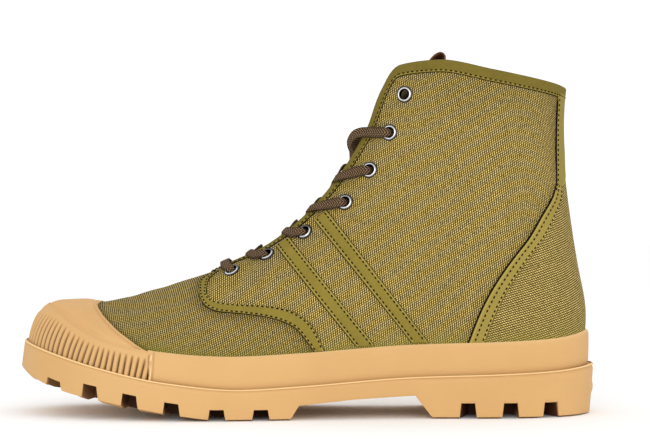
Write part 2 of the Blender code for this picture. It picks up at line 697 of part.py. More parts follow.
def build_toe_cap():
    """Smooth rubber over the toe from the bumper's bead to the canvas."""
    border_u = np.array([row[0] for row in CAP_BORDER[:-2]])
    columns = np.concatenate([U_COLUMNS[U_COLUMNS < border_u[0] - 0.004], border_u])
    levels = np.linspace(0.0, 1.0, 6)
    near = []
    far = []
    for side in SIDES.values():
        rows = []
        for u in columns:
            top = table(CAP_BORDER, u) if u > border_u[0] else 1.0
            low = table(BEAD_TOP, u) + CAP_CLEAR
            rows.append((np.full(len(levels), u), low + (top - low) * levels))
        near.append([LAST.at(side, u, v, np.full(len(v), TAPE_GAP)) for u, v in rows])
        far.append([LAST.at(side, u, v, np.full(len(v), CAP_OUT)) for u, v in rows])
    return sheet("toe_cap", near, far, "rubber_tan")


def build_toe_bumper():
    """Ribbed strip round the toe with a smooth bead along its top."""
    per_rib = 2
    steps = np.linspace(0.0, 1.0, RIBS_PER_SIDE * per_rib + 1)
    columns = (SEAM_U - SEAM_HALF) * (1.0 - steps)
    stations = [(LATERAL, u, k) for k, u in enumerate(columns)]
    stations += [(MEDIAL, u, k) for k, u in list(enumerate(columns))[::-1][1:]]
    rings = []
    for side, u, k in stations:
        crest = RIB_HEIGHT if k % per_rib else 0.0
        crest *= min(1.0, k / (RIB_FADE * per_rib))
        v_rib = table(RIB_TOP, u)
        v_top = table(BEAD_TOP, u)
        v_bead = (v_rib + v_top) / 2
        blend = min(1.0, (SEAM_U - u) / BUMPER_BLEND)
        valley = FOXING_OUT + (BUMPER_VALLEY - FOXING_OUT) * blend
        proud = FOXING_OUT + (BEAD_OUT - FOXING_OUT) * blend
        rings.append([foot(side, u, BUMPER_IN), LAST.at(side, u, v_top / 2, BUMPER_IN),
                      LAST.at(side, u, v_top, BUMPER_IN),
                      LAST.at(side, u, v_top, BUMPER_LIP), LAST.at(side, u, v_bead, proud),
                      LAST.at(side, u, v_rib, valley + crest), foot(side, u, valley + crest)])
    return loft("toe_bumper", rings, "rubber_tan")


def side_line(points, count):
    """Points evenly spaced along a smooth line through the side-view points."""
    points = np.asarray(points, float)
    run = np.concatenate([[0.0], np.cumsum(np.linalg.norm(np.diff(points, axis=0), axis=1))])
    return pchip(run, points, np.linspace(0.0, run[-1], count))


def build_strip(name, side, edges, count):
    """Tape cut between two side-view lines out of the upper's own face."""
    spots = [[LAST.find(side, *a), LAST.find(side, *b)]
             for a, b in zip(side_line(edges[0], count), side_line(edges[1], count))]
    return tape(name, [(side, spots)])


def tape(name, strips):
    """Thin shell over the upper from grids of u, v spots."""
    near = [[[LAST.at(side, u, v, TAPE_GAP) for u, v in row] for row in spots] for side, spots in strips]
    far = [[[LAST.at(side, u, v, TAPE_GAP + TAPE_THICK) for u, v in row] for row in spots]
           for side, spots in strips]
    return sheet(name, near, far, "tape_olive")


def build_backstay():
    """Heel tape: a strip down from the collar that parts into a leg along each counter seam."""
    seam = np.asarray(COUNTER_SEAM, float)[::-1]
    levels = np.linspace(0, 1, 201)
    back = LAST.face(LATERAL, 1.0, levels)
    strips = []
    for side in SIDES.values():
        strip = []
        for z in np.linspace(seam[-1, 0], COUNTER_SPLIT, 6):
            x = table(seam, z)
            v = float(np.interp(z, back[:, 2], levels))
            strip.append([LAST.find(side, x, z)] + [(u, v) for u in U_COLUMNS[-4:]])
        leg = [strip[-1][:2]]
        for z in np.linspace(COUNTER_SPLIT, seam[0, 0], 12)[1:]:
            x = table(seam, z)
            leg.append([LAST.find(side, x, z), LAST.find(side, x + table(COUNTER_TAPE, z), z)])
        strips += [(side, strip), (side, leg)]
    return tape("backstay", strips)


def build_binding():
    """Folded tape over the throat and collar edge, open on the inside of its fold."""
    columns = U_COLUMNS[U_COLUMNS > THROAT_U + 0.02]
    rings = []
    for side, u in both_ways(columns):
        outer = LAST.v_below_top(side, u, table(BINDING_DEEP, u))
        inner = LAST.v_below_top(side, u, BINDING_INSIDE)
        rise = LAST.face(side, u, 1.0) - LAST.face(side, u, 0.99)
        rise = rise / np.linalg.norm(rise)
        proud = BINDING_GAP + BINDING_THICK
        rings.append([LAST.at(side, u, outer, proud),
                      LAST.at(side, u, 1.0, proud) + rise * proud,
                      LAST.at(side, u, 1.0, -WALL - proud) + rise * proud,
                      LAST.at(side, u, inner, -WALL - proud),
                      LAST.at(side, u, inner, -WALL - BINDING_GAP),
                      LAST.at(side, u, 1.0, -WALL - BINDING_GAP) + rise * BINDING_GAP,
                      LAST.at(side, u, 1.0, BINDING_GAP) + rise * BINDING_GAP,
                      LAST.at(side, u, outer, BINDING_GAP)])
    return loft("binding", rings, "tape_olive")


def tongue_rows(deeper):
    """Rows of points across the tongue, lateral to medial, at a depth below its outer face."""
    rows = []
    for u, offset, lean, lift, outermost, crown in TONGUE:
        inmost = 1.0 if u > THROAT_U else 0.955
        levels = (outermost, (outermost + inmost) / 2, inmost)
        shift = np.array([lean, 0.0, lift])
        halves = [[LAST.at(side, u, v, offset - deeper) + shift for v in levels]
                  for side in SIDES.values()]
        if u > THROAT_U:
            centre = (halves[0][-1] + halves[1][-1]) / 2 + (-0.5 * crown, 0.0, crown)
        else:
            centre = LAST.at(LATERAL, u, 1.0, offset - deeper)
        rows.append(halves[0] + [centre] + halves[1][::-1])
    return rows


def build_tongue():
    return sheet("tongue", [tongue_rows(TONGUE_THICK)], [tongue_rows(0.0)], "canvas_olive")


def build_loop():
    """Pull loop: a strap bent astride the tongue's top edge."""
    before, top = [row[3] for row in tongue_rows(TONGUE_THICK / 2)[-2:]]
    along = (top - before) * (1.0, 0.0, 1.0)
    along = along / np.linalg.norm(along)
    out = np.array([-along[2], 0.0, along[0]])
    line = np.asarray(LOOP_LINE)
    ahead = np.gradient(line, axis=0)
    ahead /= np.linalg.norm(ahead, axis=1)[:, None]
    thick = np.stack([ahead[:, 1], -ahead[:, 0]], axis=1) * LOOP_THICK / 2
    across = np.array([0.0, LOOP_WIDE / 2, 0.0])
    rings = []
    for spot, half in zip(line, thick):
        a = top + out * (spot + half)[0] + along * (spot + half)[1]
        b = top + out * (spot - half)[0] + along * (spot - half)[1]
        rings.append([a - across, a + across, b + across, b - across])
    return loft("tongue_loop", rings, "loop_tape")


def ribbon(name, path, ups, steps):
    """Flat lace along a smooth path; ups give its upper face at each path point."""
    path = np.asarray(path, float)
    run = np.concatenate([[0.0], np.cumsum(np.linalg.norm(np.diff(path, axis=0), axis=1))])
    at = np.linspace(0.0, run[-1], steps)
    line = pchip(run, path, at)
    up = pchip(run, np.asarray(ups, float), at)
    along = np.gradient(line, at, axis=0)
    along /= np.linalg.norm(along, axis=1)[:, None]
    across = np.cross(along, up)
    across /= np.linalg.norm(across, axis=1)[:, None]
    up = np.cross(across, along)
    w = across * LACE_WIDE / 2
    t = up * LACE_THICK / 2
    return loft(name, np.stack([line - w - t, line + w - t, line + w + t, line - w + t], axis=1),
                "lace_brown")


def throat_u(x):
    """u of the throat edge point at x."""
    span = LAST.u_grid[:, 0] >= THROAT_U
    edge = LAST.samples[LATERAL][span, -1]
    return float(np.interp(x, edge[:, 0], LAST.u_grid[span, 0]))


def strand(name, side, eyelet, crossing, sink):
    """Lace from above an eyelet over the throat edge and across to the other side."""
    u, v = LAST.find(side, *eyelet)
    x, z, lift = crossing
    edge_u = throat_u(0.35 * eyelet[0] + 0.65 * x)
    far_u = throat_u(1.3 * x - 0.3 * eyelet[0])
    start = LAST.at(side, u, v, LACE_LIFT)
    over = LAST.at(side, edge_u, 1.0, LACE_LIFT + 0.3 * lift)
    middle = np.array([x, 0.0, z]) + LACE_UP * (lift + sink)
    end = LAST.face(-side, far_u, 1.0)
    end = end + np.array([0.0, side * LACE_END_IN, 0.0]) + LACE_UP * (LACE_END_UP + sink)
    over_up = LAST.normal(side, edge_u, 1.0) + LACE_UP
    return ribbon(name, [start, over, middle, end],
                  [LAST.normal(side, u, v), over_up / np.linalg.norm(over_up), LACE_UP, LACE_UP], 8)


def build_laces():
    lowest = EYELETS[-1]
    u = {side: LAST.find(side, *lowest) for side in SIDES.values()}
    edge_u = throat_u(lowest[0] - 1.0)
    path = []
    ups = []
    for side in (LATERAL, MEDIAL):
        ends = [LAST.at(side, *u[side], LACE_LIFT), LAST.at(side, edge_u, 1.0, LACE_LIFT)]
        tilt = [LAST.normal(side, *u[side]), LAST.normal(side, edge_u, 1.0)]
        path += ends if side == LATERAL else ends[::-1]
        ups += tilt if side == LATERAL else tilt[::-1]
    path.insert(2, (path[1] + path[2]) / 2 + LACE_BAR_UP * LACE_END_UP)
    ups.insert(2, LACE_BAR_UP)
    ribbon("lace_bar", path, ups, 9)
    for n, (eyelet, crossing) in enumerate(zip(EYELETS[1:6], LACE_CROSSINGS)):
        under = strand("lace_cross_%d" % (n + 1), MEDIAL, eyelet, crossing, -LACE_SINK)
        over = strand("lace_over_%d" % (n + 1), LATERAL, eyelet, crossing, LACE_SINK)
        as_cutter(over, CUTTERS)
        join = under.modifiers.new("crossing", "BOOLEAN")
        join.operation = "UNION"
        join.solver = "EXACT"
        join.object = over


def build():
    build_outsole()
    build_insole()
    build_eyelets()
    build_upper()
    build_foxing()
    build_toe_cap()
    build_toe_bumper()
    for label, side in SIDES.items():
        build_strip("quarter_tape_" + label, side, QUARTER_TAPE, 17)
        build_strip("front_strap_" + label, side, FRONT_STRAP, 10)
        build_strip("rear_strap_" + label, side, REAR_STRAP, 11)
    build_backstay()
    build_binding()
    build_tongue()
    build_loop()
    build_laces()


build()
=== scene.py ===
"""Looks of a canvas ankle boot on a lugged rubber sole, one left shoe.

Frame: metres, +Z up, toe at -X, heel at +X, lateral side at -Y, tread on z = 0.
Sizes in the tables are in millimetres; MM turns them into metres when a mesh is made.
The upper is a function of a side, u (toe tip 0, back of the heel 1) and v (sole 0, top
edge 1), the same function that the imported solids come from.
"""
import math

import bmesh
import bpy
import numpy as np
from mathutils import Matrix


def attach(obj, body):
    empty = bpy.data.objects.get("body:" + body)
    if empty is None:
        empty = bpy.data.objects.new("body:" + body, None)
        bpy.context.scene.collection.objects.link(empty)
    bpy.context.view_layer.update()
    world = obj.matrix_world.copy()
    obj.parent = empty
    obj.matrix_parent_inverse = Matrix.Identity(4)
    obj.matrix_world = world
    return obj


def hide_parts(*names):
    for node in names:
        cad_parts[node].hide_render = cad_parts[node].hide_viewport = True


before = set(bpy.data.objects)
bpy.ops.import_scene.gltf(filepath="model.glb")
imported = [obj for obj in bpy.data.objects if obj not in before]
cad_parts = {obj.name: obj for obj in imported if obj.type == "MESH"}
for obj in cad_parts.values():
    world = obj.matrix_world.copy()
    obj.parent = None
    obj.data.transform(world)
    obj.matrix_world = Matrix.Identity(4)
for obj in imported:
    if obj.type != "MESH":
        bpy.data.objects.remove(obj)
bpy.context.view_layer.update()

bl_info = {
    "name": "Canvas Ankle Boot",
    "version": (1, 0, 0),
    "blender": (4, 5, 0),
    "location": "View3D > Sidebar > Boot",
    "description": "Dresses the solids of a canvas ankle boot",
    "category": "Object",
}

MM = 0.001
LATERAL = -1
MEDIAL = 1
SIDES = {"lateral": LATERAL, "medial": MEDIAL}

# Gap between the upper's foot and the ledge, thickness of the canvas, and how deep rubber strips
# and tapes are sunk into it
GAP = 0.3
WALL = 1.8
RUBBER_SUNK = 0.4
TAPE_SUNK = 0.35

# Outsole outline, x and y, from the toe round the lateral side to the heel and back; the number of
# the point at the back of the heel, and the steps from one point to the next
OUTLINE = [
    (-150.0, 4.0), (-140.0, -22.0), (-112.0, -43.0), (-60.0, -54.0), (5.0, -46.5), (60.0, -40.0),
    (105.0, -39.5), (137.0, -27.0), (150.0, 0.0), (137.0, 26.5), (103.0, 37.5), (45.0, 35.0),
    (-20.0, 42.5), (-72.0, 51.5), (-117.0, 44.5), (-141.5, 27.5),
]
HEEL_BACK = 8
OUTLINE_STEPS = 60

# Height of the outsole's ledge and of the tread's lowest face along the shoe
LEDGE = [(-150.0, 38.0), (-128.0, 32.0), (-105.0, 26.0), (-70.0, 19.0), (-33.0, 15.6), (-3.0, 17.0),
         (54.0, 21.0), (98.0, 22.4), (128.0, 23.8), (150.0, 26.0)]
TREAD = [(-150.0, 24.0), (-140.0, 18.6), (-126.0, 13.6), (-104.0, 9.0), (-83.0, 5.1), (-62.0, 1.8),
         (-45.0, 0.0), (150.0, 0.0)]

# Upper, a row per section: share of the side's outline, inset from it, the top point
# (x, sideways shift, half opening, z), the turn of the section, then how far the lower
# handle rises and flares and the upper handle drops and spreads
SECTION_COLUMNS = ("share", "inset", "top_x", "shift", "half", "top_z", "turn",
                   "rise", "flare", "drop", "spread")
SECTIONS = [
    (0.000, 7.6, -124.0, 4.0, 0.0, 57.3, 0, 11.0, -1.2, 0.0, 11.5),
    (0.085, 7.2, -117.5, 4.0, 0.0, 57.6, 50, 11.0, -0.6, 0.0, 12.5),
    (0.165, 6.6, -107.5, 3.7, 0.0, 57.6, 80, 12.0, 0.3, 0.0, 16.0),
    (0.260, 5.8, -90.0, 3.0, 0.0, 61.4, 90, 18.0, 1.5, 0.0, 23.0),
    (0.350, 5.6, -70.0, 2.2, 0.0, 67.2, 90, 24.0, 2.0, 0.0, 27.0),
    (0.420, 5.6, -51.5, 1.4, 0.0, 72.8, 90, 27.0, 1.5, 0.0, 27.0),
    (0.460, 5.6, -38.0, 1.0, 5.5, 78.3, 90, 29.0, 1.0, 2.5, 22.0),
    (0.500, 5.6, -22.0, 0.6, 8.0, 85.7, 90, 33.0, 0.5, 6.0, 19.0),
    (0.535, 5.6, -7.0, 0.4, 9.0, 96.5, 90, 36.0, 0.0, 11.0, 17.0),
    (0.570, 5.6, 6.0, 0.2, 9.8, 109.0, 92, 39.0, 0.0, 16.0, 15.0),
    (0.612, 5.6, 20.7, 0.0, 10.8, 128.0, 95, 42.0, 0.0, 25.0, 13.0),
    (0.655, 5.6, 32.2, 0.0, 12.2, 148.6, 95, 45.0, 0.0, 34.0, 11.0),
    (0.690, 5.6, 39.2, 0.0, 14.2, 167.5, 95, 47.0, 0.5, 42.0, 9.0),
    (0.722, 5.6, 48.2, 0.0, 19.0, 179.2, 95, 48.0, 0.5, 48.0, 6.0),
    (0.765, 5.6, 68.0, 0.0, 28.5, 181.0, 92, 48.0, 1.0, 50.0, 0.0),
    (0.825, 5.6, 95.0, 0.0, 33.5, 175.6, 92, 48.0, 1.5, 50.0, -3.0),
    (0.895, 5.6, 118.0, 0.0, 27.0, 171.3, 125, 48.0, 2.0, 48.0, -4.5),
    (0.950, 5.6, 130.6, 0.0, 14.5, 169.0, 155, 48.0, 2.5, 46.0, -5.5),
    (1.000, 5.6, 134.8, 0.0, 0.0, 168.3, 180, 48.0, 3.0, 45.0, -6.0),
]
LAST_ROW = len(SECTIONS) - 1

# u at the foot of the throat, columns of a side of the upper, and the one its weave is measured from
THROAT_U = 5 / LAST_ROW
UPPER_COLUMNS = 180
FLAT_COLUMN = 130

# Outsole: drop and width of the rounded shoulder, width and height of the tread's rise by the edge,
# insets of the wall's top and foot by share of the outline
SHOULDER_DROP = 0.8
SHOULDER_IN = 1.0
EDGE_IN = 7.0
EDGE_RISE = 0.5
WALL_TOP_IN = [(0.0, 1.7), (0.2, 0.6), (0.8, 0.3), (1.0, 0.0)]
WALL_FOOT_IN = [(0.0, 0.0), (0.2, 0.4), (0.8, 1.2), (1.0, 2.0)]

# Foxing: u of the toe seam, height by u, how far it stands out, height of its rounded lip
SEAM_U = 0.183
FOXING_HEIGHT = [(0.18, 14.3), (0.205, 14.7), (0.26, 15.8), (0.30, 16.0), (0.85, 16.0), (0.96, 17.6),
                 (1.0, 18.2)]
FOXING_OUT = 2.8
FOXING_LIP = 2.3

# Toe cap: thickness, thickness at the border, width of the taper between them, swell by the bead, u of
# the bead under the border's upper end; then the border, u and v
CAP_OUT = 1.8
CAP_EDGE = 0.7
CAP_TAPER = 9.0
CAP_SWELL = 1.3
CAP_TURN = 0.096
CAP_BORDER = [(0.1124, 1.0), (0.1105, 0.92), (0.1106, 0.834), (0.116, 0.745), (0.1234, 0.6645),
              (0.131, 0.578), (0.1396, 0.494), (0.1489, 0.408), (0.161, 0.324), (0.170, 0.268),
              (0.18, 0.224), (0.183, 0.216)]

# Toe bumper: how far the bead stands out, ribs of a side, number of ribs by share of the way from the
# seam to the toe, where the first one is whole, how far the ribs stand out, lean of the ribs by u, lean
# of the seam, v of the top of ribs and bead by u
BEAD_OUT = 3.7
RIBS_PER_SIDE = 28
RIB_PHASE = [(0.0, 0.27), (0.022, 1.0), (0.145, 5.0), (0.295, 10.0), (0.46, 15.0), (0.667, 20.0),
             (0.79, 23.0), (1.0, 28.0)]
RIB_FADE = 0.9
RIB_OUT = 4.3
RIB_LEAN = [(0.0, 0.0), (0.03, -0.001), (0.058, -0.0023), (0.09, -0.004), (0.12, -0.0055), (0.15, -0.0033),
            (0.183, -0.0035)]
SEAM_LEAN = 0.0035
RIB_TOP = [(0.0, 0.46), (0.067, 0.397), (0.096, 0.30), (0.137, 0.198), (0.183, 0.152)]
BEAD_TOP = [(0.0, 0.67), (0.062, 0.532), (0.094, 0.425), (0.123, 0.342), (0.142, 0.272),
            (0.183, 0.212)]

# Insole: inset from the lining, thickness
INSOLE_IN = 1.2
INSOLE_THICK = 4.0

# Tread grooves: x at the edge, height, inward fan angle in degrees; then their width at top and
# bottom, their length, and the arch, x and z
GROOVES = [(-128.6, 4.9, 24.0), (-108.9, 7.4, 10.0), (-88.4, 7.0, 4.0), (-67.1, 6.5, 0.0),
           (-44.5, 5.6, 0.0), (-22.5, 5.4, 0.0), (81.6, 7.7, 14.0), (103.4, 7.7, 0.0),
           (124.8, 7.7, -22.0)]
GROOVE_TOP = 7.0
GROOVE_BOTTOM = 8.8
GROOVE_LENGTH = 23.0
ARCH = [(-8.0, 0.0), (-3.5, 7.2), (25.0, 9.9), (55.0, 11.6), (64.0, 0.0)]

# Plain panel on the back of the heel: half width, x where it starts, lowest and highest z, height
HEEL_PANEL = (14.0, 121.0, 10.5, 16.1, 0.6)

# Eyelets of one side from the top down, x and z in the side view; their section, radius and height;
# how much each one's painted glint dims on its upper side; the radius and half length of the hole's bar; the
# dimple in the canvas
EYELETS = [(50.3, 164.7), (42.6, 145.2), (32.3, 126.0), (19.7, 109.4), (-1.2, 94.1),
           (-20.8, 82.4), (-38.6, 74.0)]
EYELET_PROFILE = [(4.30, 0.05), (4.34, 0.28), (4.18, 0.48), (3.90, 0.56), (3.68, 0.62), (3.50, 0.80),
                  (3.28, 0.96), (3.05, 0.97), (2.86, 0.80), (2.76, 0.52), (2.72, 0.10), (2.72, -1.90),
                  (2.80, -2.30), (3.05, -2.50), (3.50, -2.52), (3.80, -2.30), (3.70, -2.05), (3.10, -1.95),
                  (2.95, -1.60), (2.93, -0.20)]
EYELET_GLINT_DIM = [0.0, 0.1, 0.2, 0.5, 0.85, 0.9, 0.9]
HOLE_RADIUS = 3.0
HOLE_REACH = 6.0
EYELET_DIMPLE = 0.28

# Tapes on the upper: steps across a tape, closer at its edges, then both edges of each tape as x and z
# in the side view
TAPE_STEPS = np.array([-1.0, -0.985, -0.95, -0.89, -0.81, -0.72, -0.63, -0.54, -0.42, -0.22, 0.0,
                       0.22, 0.42, 0.54, 0.63, 0.72, 0.81, 0.89, 0.95, 0.985, 1.0])
QUARTER_TAPE = (
    [(-51.5, 71.0), (-55.7, 67.2), (-55.2, 62.5), (-51.9, 56.6), (-44.9, 53.6), (-33.1, 52.6),
     (-17.4, 50.3), (-6.8, 46.2), (0.3, 38.4), (3.6, 33.8)],
    [(-45.6, 73.6), (-50.5, 68.7), (-51.1, 63.3), (-47.3, 58.9), (-34.8, 57.1), (-20.7, 56.4),
     (-9.8, 54.7), (0.3, 49.2), (5.9, 41.6), (9.2, 34.0)],
)
FRONT_STRAP = ([(-16.0, 86.4), (24.7, 36.3)], [(-8.5, 90.8), (34.5, 36.8)])
REAR_STRAP = ([(4.0, 99.6), (53.0, 38.0)], [(10.9, 104.8), (62.1, 38.2)])

# Counter: its seam, z and x; z where the heel tape parts, height of the peak in its lower edge, width
# of each leg by z, the leg's stitch rows, and the cord in the seam
COUNTER_SEAM = [(162.0, 129.0), (150.0, 128.4), (135.0, 128.1), (121.0, 128.2), (114.6, 126.8),
                (101.3, 119.3), (90.2, 112.5), (82.7, 106.5), (73.9, 100.0), (64.7, 94.1),
                (54.8, 88.9), (46.6, 85.4), (40.2, 83.0)]
COUNTER_SPLIT = 118.0
HEEL_PEAK = 8.0
COUNTER_TAPE = [(36.0, 8.2), (95.0, 8.0), (118.0, 4.2)]
LEG_ROWS = (3.0, -1.3)
CORD_UP = 0.45
CORD_RADIUS = 0.52

# Edge binding by u: its depth on the outer face and the inset of its stitch row; its depth inside
BINDING_DEEP = [(0.28, 3.6), (0.44, 4.2), (0.52, 4.6), (0.58, 5.8), (0.62, 7.6), (0.65, 8.8), (0.68, 6.9),
                (0.72, 5.4), (0.78, 5.6), (1.0, 5.6)]
BINDING_INSET = [(0.28, 0.9), (0.56, 1.2), (0.65, 2.1), (0.70, 1.5), (0.78, 1.3), (1.0, 1.3)]
BINDING_INSIDE = 4.0

# Tongue rows: u, offset under the upper, lean to the rear, lift, outermost v, crown
TONGUE = [
    (0.235, -2.3, 0.0, 0.0, 0.80, 0.0), (0.262, -2.5, 0.0, 0.0, 0.79, 0.0),
    (0.295, -4.2, 0.0, 0.0, 0.77, 0.0), (0.340, -4.2, 0.0, 0.0, 0.76, 0.4),
    (0.390, -3.8, 0.0, 0.0, 0.76, 0.8), (0.440, -3.7, 0.0, 0.0, 0.76, 0.8),
    (0.490, -3.7, 0.0, 0.0, 0.78, 0.8), (0.540, -3.7, 0.4, 0.0, 0.80, 0.8),
    (0.590, -3.7, 1.6, 0.0, 0.82, 0.8), (0.635, -3.7, 4.0, 0.0, 0.84, 0.8),
    (0.675, -3.7, 8.0, 0.6, 0.86, 0.8), (0.705, -3.7, 13.0, 2.0, 0.88, 0.8),
    (0.722, -3.7, 17.5, 4.6, 0.89, 0.8),
]
TONGUE_THICK = 1.6
TONGUE_INMOST = 0.955

# Pull loop: width, thickness, its line over the tongue's edge as x and z, its tilt to the medial side
LOOP_WIDE = 14.0
LOOP_THICK = 1.0
LOOP_LINE = [(60.0, 180.2), (62.0, 181.5), (63.6, 182.9), (65.2, 185.0), (67.2, 186.8), (69.5, 187.7),
             (71.2, 187.0), (72.0, 185.3), (71.7, 183.4), (70.4, 182.3), (68.6, 182.3), (66.6, 182.0),
             (64.8, 181.0), (61.6, 178.8)]
LOOP_TILT = 0.2

# Lace: the way the throat faces; x of the crossings from the top down, x and z of the way from each
# eyelet to its crossing, steps into an eyelet as distance before it and height; x of the lowest bar;
# height of the medial strands over the throat's edge; the curl of the highest crossing and its faces
LACE_UP = np.array([-0.75, 0.0, 0.66])
LACE_CROSSINGS = [26.5, 16.1, 2.7, -10.0, -29.0]
LACE_WAYS = [(-1.0, 0.03), (-1.0, -0.1), (-1.0, -0.08), (-1.0, 0.05), (-1.0, 0.15), (-0.6, 0.8)]
LACE_DIVE = [(5.2, 1.55), (3.3, 1.6), (1.5, 1.1), (0.3, -0.4), (0.0, -3.0)]
LACE_BAR = -42.0
LACE_FAR_LIFT = [2.6, 1.6, 1.0, 2.0, 2.0]
TOP_CURL = [(24.0, 6.5, 134.9), (22.2, 10.0, 139.8), (24.8, 12.6, 144.4), (29.3, 14.6, 145.7)]
TOP_CURL_FACES = [(-0.7, 0.6, -0.3), (-0.85, 0.5, 0.0), (-0.75, 0.65, 0.1), (-0.5, 0.85, 0.15)]

# Soft creases in the canvas, side view: from x, z to x, z, half width, depth
CREASES = [
    (-92.0, 62.0, -84.0, 34.0, 5.0, 0.45),
    (-74.0, 66.0, -64.0, 34.0, 6.0, 0.40),
    (-40.0, 70.0, -14.0, 40.0, 7.0, -0.35),
    (58.0, 96.0, 104.0, 92.0, 8.0, 0.60),
    (66.0, 112.0, 122.0, 120.0, 9.0, -0.45),
    (112.0, 60.0, 132.0, 66.0, 8.0, 0.40),
]

# Swell low on the heel: height, level, half height, and the x where it starts and where it is whole
HEEL_SWELL = (1.9, 55.0, 17.0, 104.0, 138.0)

# Floor: its level, and the grey of its faint clouds
FLOOR_Z = -0.2
FLOOR_CLOUD = (0.86, 0.86, 0.86)


def srgb(red, green, blue):
    """Linear colour of an 8-bit screen colour."""
    share = np.array([red, green, blue]) / 255.0
    linear = np.where(share < 0.04045, share / 12.92, ((share + 0.055) / 1.055) ** 2.4)
    return tuple(float(c) for c in linear)


class BootSizes(bpy.types.PropertyGroup):
    """Sizes of the sewn and moulded details."""
    tape_proud: bpy.props.FloatProperty(
        name="Tape height", description="How far a tape stands off the canvas",
        default=1.0 * MM, unit="LENGTH")
    panel_step: bpy.props.FloatProperty(
        name="Panel step", description="Rise from the vamp to the quarter under their seam",
        default=0.5 * MM, unit="LENGTH")
    stitch_pitch: bpy.props.FloatProperty(
        name="Stitch pitch", description="Distance from one stitch to the next",
        default=2.6 * MM, unit="LENGTH")
    stitch_length: bpy.props.FloatProperty(
        name="Stitch length", description="Visible length of a stitch", default=1.6 * MM, unit="LENGTH")
    stitch_inset: bpy.props.FloatProperty(
        name="Stitch inset", description="Distance of a stitch row from its tape's edge",
        default=1.15 * MM, unit="LENGTH")
    strap_inset: bpy.props.FloatProperty(
        name="Strap stitch inset", description="Distance of a stitch row from its strap's edge",
        default=1.75 * MM, unit="LENGTH")
    rib_height: bpy.props.FloatProperty(
        name="Rib height", description="Height of the ribs on the toe bumper",
        default=1.9 * MM, unit="LENGTH")
    lace_width: bpy.props.FloatProperty(
        name="Lace width", description="Width of the flat lace", default=5.3 * MM, unit="LENGTH")
    lace_thick: bpy.props.FloatProperty(
        name="Lace thickness", description="Thickness of the flat lace", default=1.2 * MM, unit="LENGTH")
    warp_pitch: bpy.props.FloatProperty(
        name="Warp pitch", description="Distance between the canvas's upright yarns",
        default=1.11 * MM, unit="LENGTH")
    weft_pitch: bpy.props.FloatProperty(
        name="Weft pitch", description="Distance between the canvas's cross yarns",
        default=0.58 * MM, unit="LENGTH")


class BootColours(bpy.types.PropertyGroup):
    """Colours of the materials."""
    # Canvas light is the yarns' colour with painted highlight on the raised yarns; canvas dark is painted
    # shade in the gaps, also the dark of the other painted shade
    canvas_light: bpy.props.FloatVectorProperty(
        name="Canvas light", description="Raised yarns of the canvas", subtype="COLOR",
        default=srgb(255, 231, 158))
    canvas_mid: bpy.props.FloatVectorProperty(
        name="Canvas mid", description="Cross yarns of the canvas", subtype="COLOR",
        default=srgb(153, 122, 8))
    canvas_dark: bpy.props.FloatVectorProperty(
        name="Canvas dark", description="Gaps between the yarns", subtype="COLOR",
        default=srgb(14, 9, 0))
    canvas_stain: bpy.props.FloatVectorProperty(
        name="Canvas edge", description="Greener canvas along the rubber", subtype="COLOR",
        default=srgb(122, 118, 44))
    tape: bpy.props.FloatVectorProperty(
        name="Tape", description="Sewn tapes and binding", subtype="COLOR", default=srgb(131, 115, 46))
    # Painted highlight on the tapes' folds; also the paler tone of a strip whose tone is over 0
    tape_edge: bpy.props.FloatVectorProperty(
        name="Tape edge", description="Lighter folded edge of the tapes", subtype="COLOR",
        default=srgb(170, 150, 80))
    thread: bpy.props.FloatVectorProperty(
        name="Thread", description="Sewing thread", subtype="COLOR", default=srgb(16, 12, 6))
    rubber: bpy.props.FloatVectorProperty(
        name="Rubber", description="Sole, foxing and toe rubber", subtype="COLOR",
        default=srgb(201, 159, 103))
    rubber_dark: bpy.props.FloatVectorProperty(
        name="Rubber dark", description="Mottled shade of the rubber", subtype="COLOR",
        default=srgb(192, 148, 92))
    # Partly paler rubber, partly painted highlight on moulded edges
    rubber_pale: bpy.props.FloatVectorProperty(
        name="Rubber pale", description="Moulded edges of the rubber", subtype="COLOR",
        default=srgb(240, 205, 150))
    lace: bpy.props.FloatVectorProperty(
        name="Lace", description="Braided lace", subtype="COLOR", default=srgb(98, 77, 56))
    metal: bpy.props.FloatVectorProperty(
        name="Eyelets", description="Plated eyelet metal", subtype="COLOR", default=srgb(236, 236, 238))
    lining: bpy.props.FloatVectorProperty(
        name="Lining", description="Cloth inside the upper", subtype="COLOR", default=srgb(150, 132, 84))
    insole: bpy.props.FloatVectorProperty(
        name="Insole", description="Cloth on the insole", subtype="COLOR", default=srgb(176, 152, 106))
    loop: bpy.props.FloatVectorProperty(
        name="Pull loop", description="Webbing of the tongue's loop", subtype="COLOR",
        default=srgb(136, 88, 58))


class BootStage(bpy.types.PropertyGroup):
    """Floor, light and camera."""
    sky: bpy.props.FloatProperty(
        name="Surround", description="Strength of the white surround", default=1.06, min=0.0)
    key: bpy.props.FloatProperty(
        name="Key light", description="Power of the light in front", default=14.0, unit="POWER")
    fill: bpy.props.FloatProperty(
        name="Fill light", description="Power of the light at the right front", default=6.0, unit="POWER")
    floor: bpy.props.FloatVectorProperty(
        name="Floor", description="Colour of the floor", subtype="COLOR", default=(0.94, 0.94, 0.94))


def sizes():
    """The sizes that the sidebar shows."""
    return bpy.context.scene.boot_sizes


def colours():
    """The colours that the sidebar shows."""
    return bpy.context.scene.boot_colours


def smooth(low, high, value):
    """Soft step from 0 at low to 1 at high."""
    t = np.clip((value - low) / (high - low), 0.0, 1.0)
    return t * t * (3 - 2 * t)


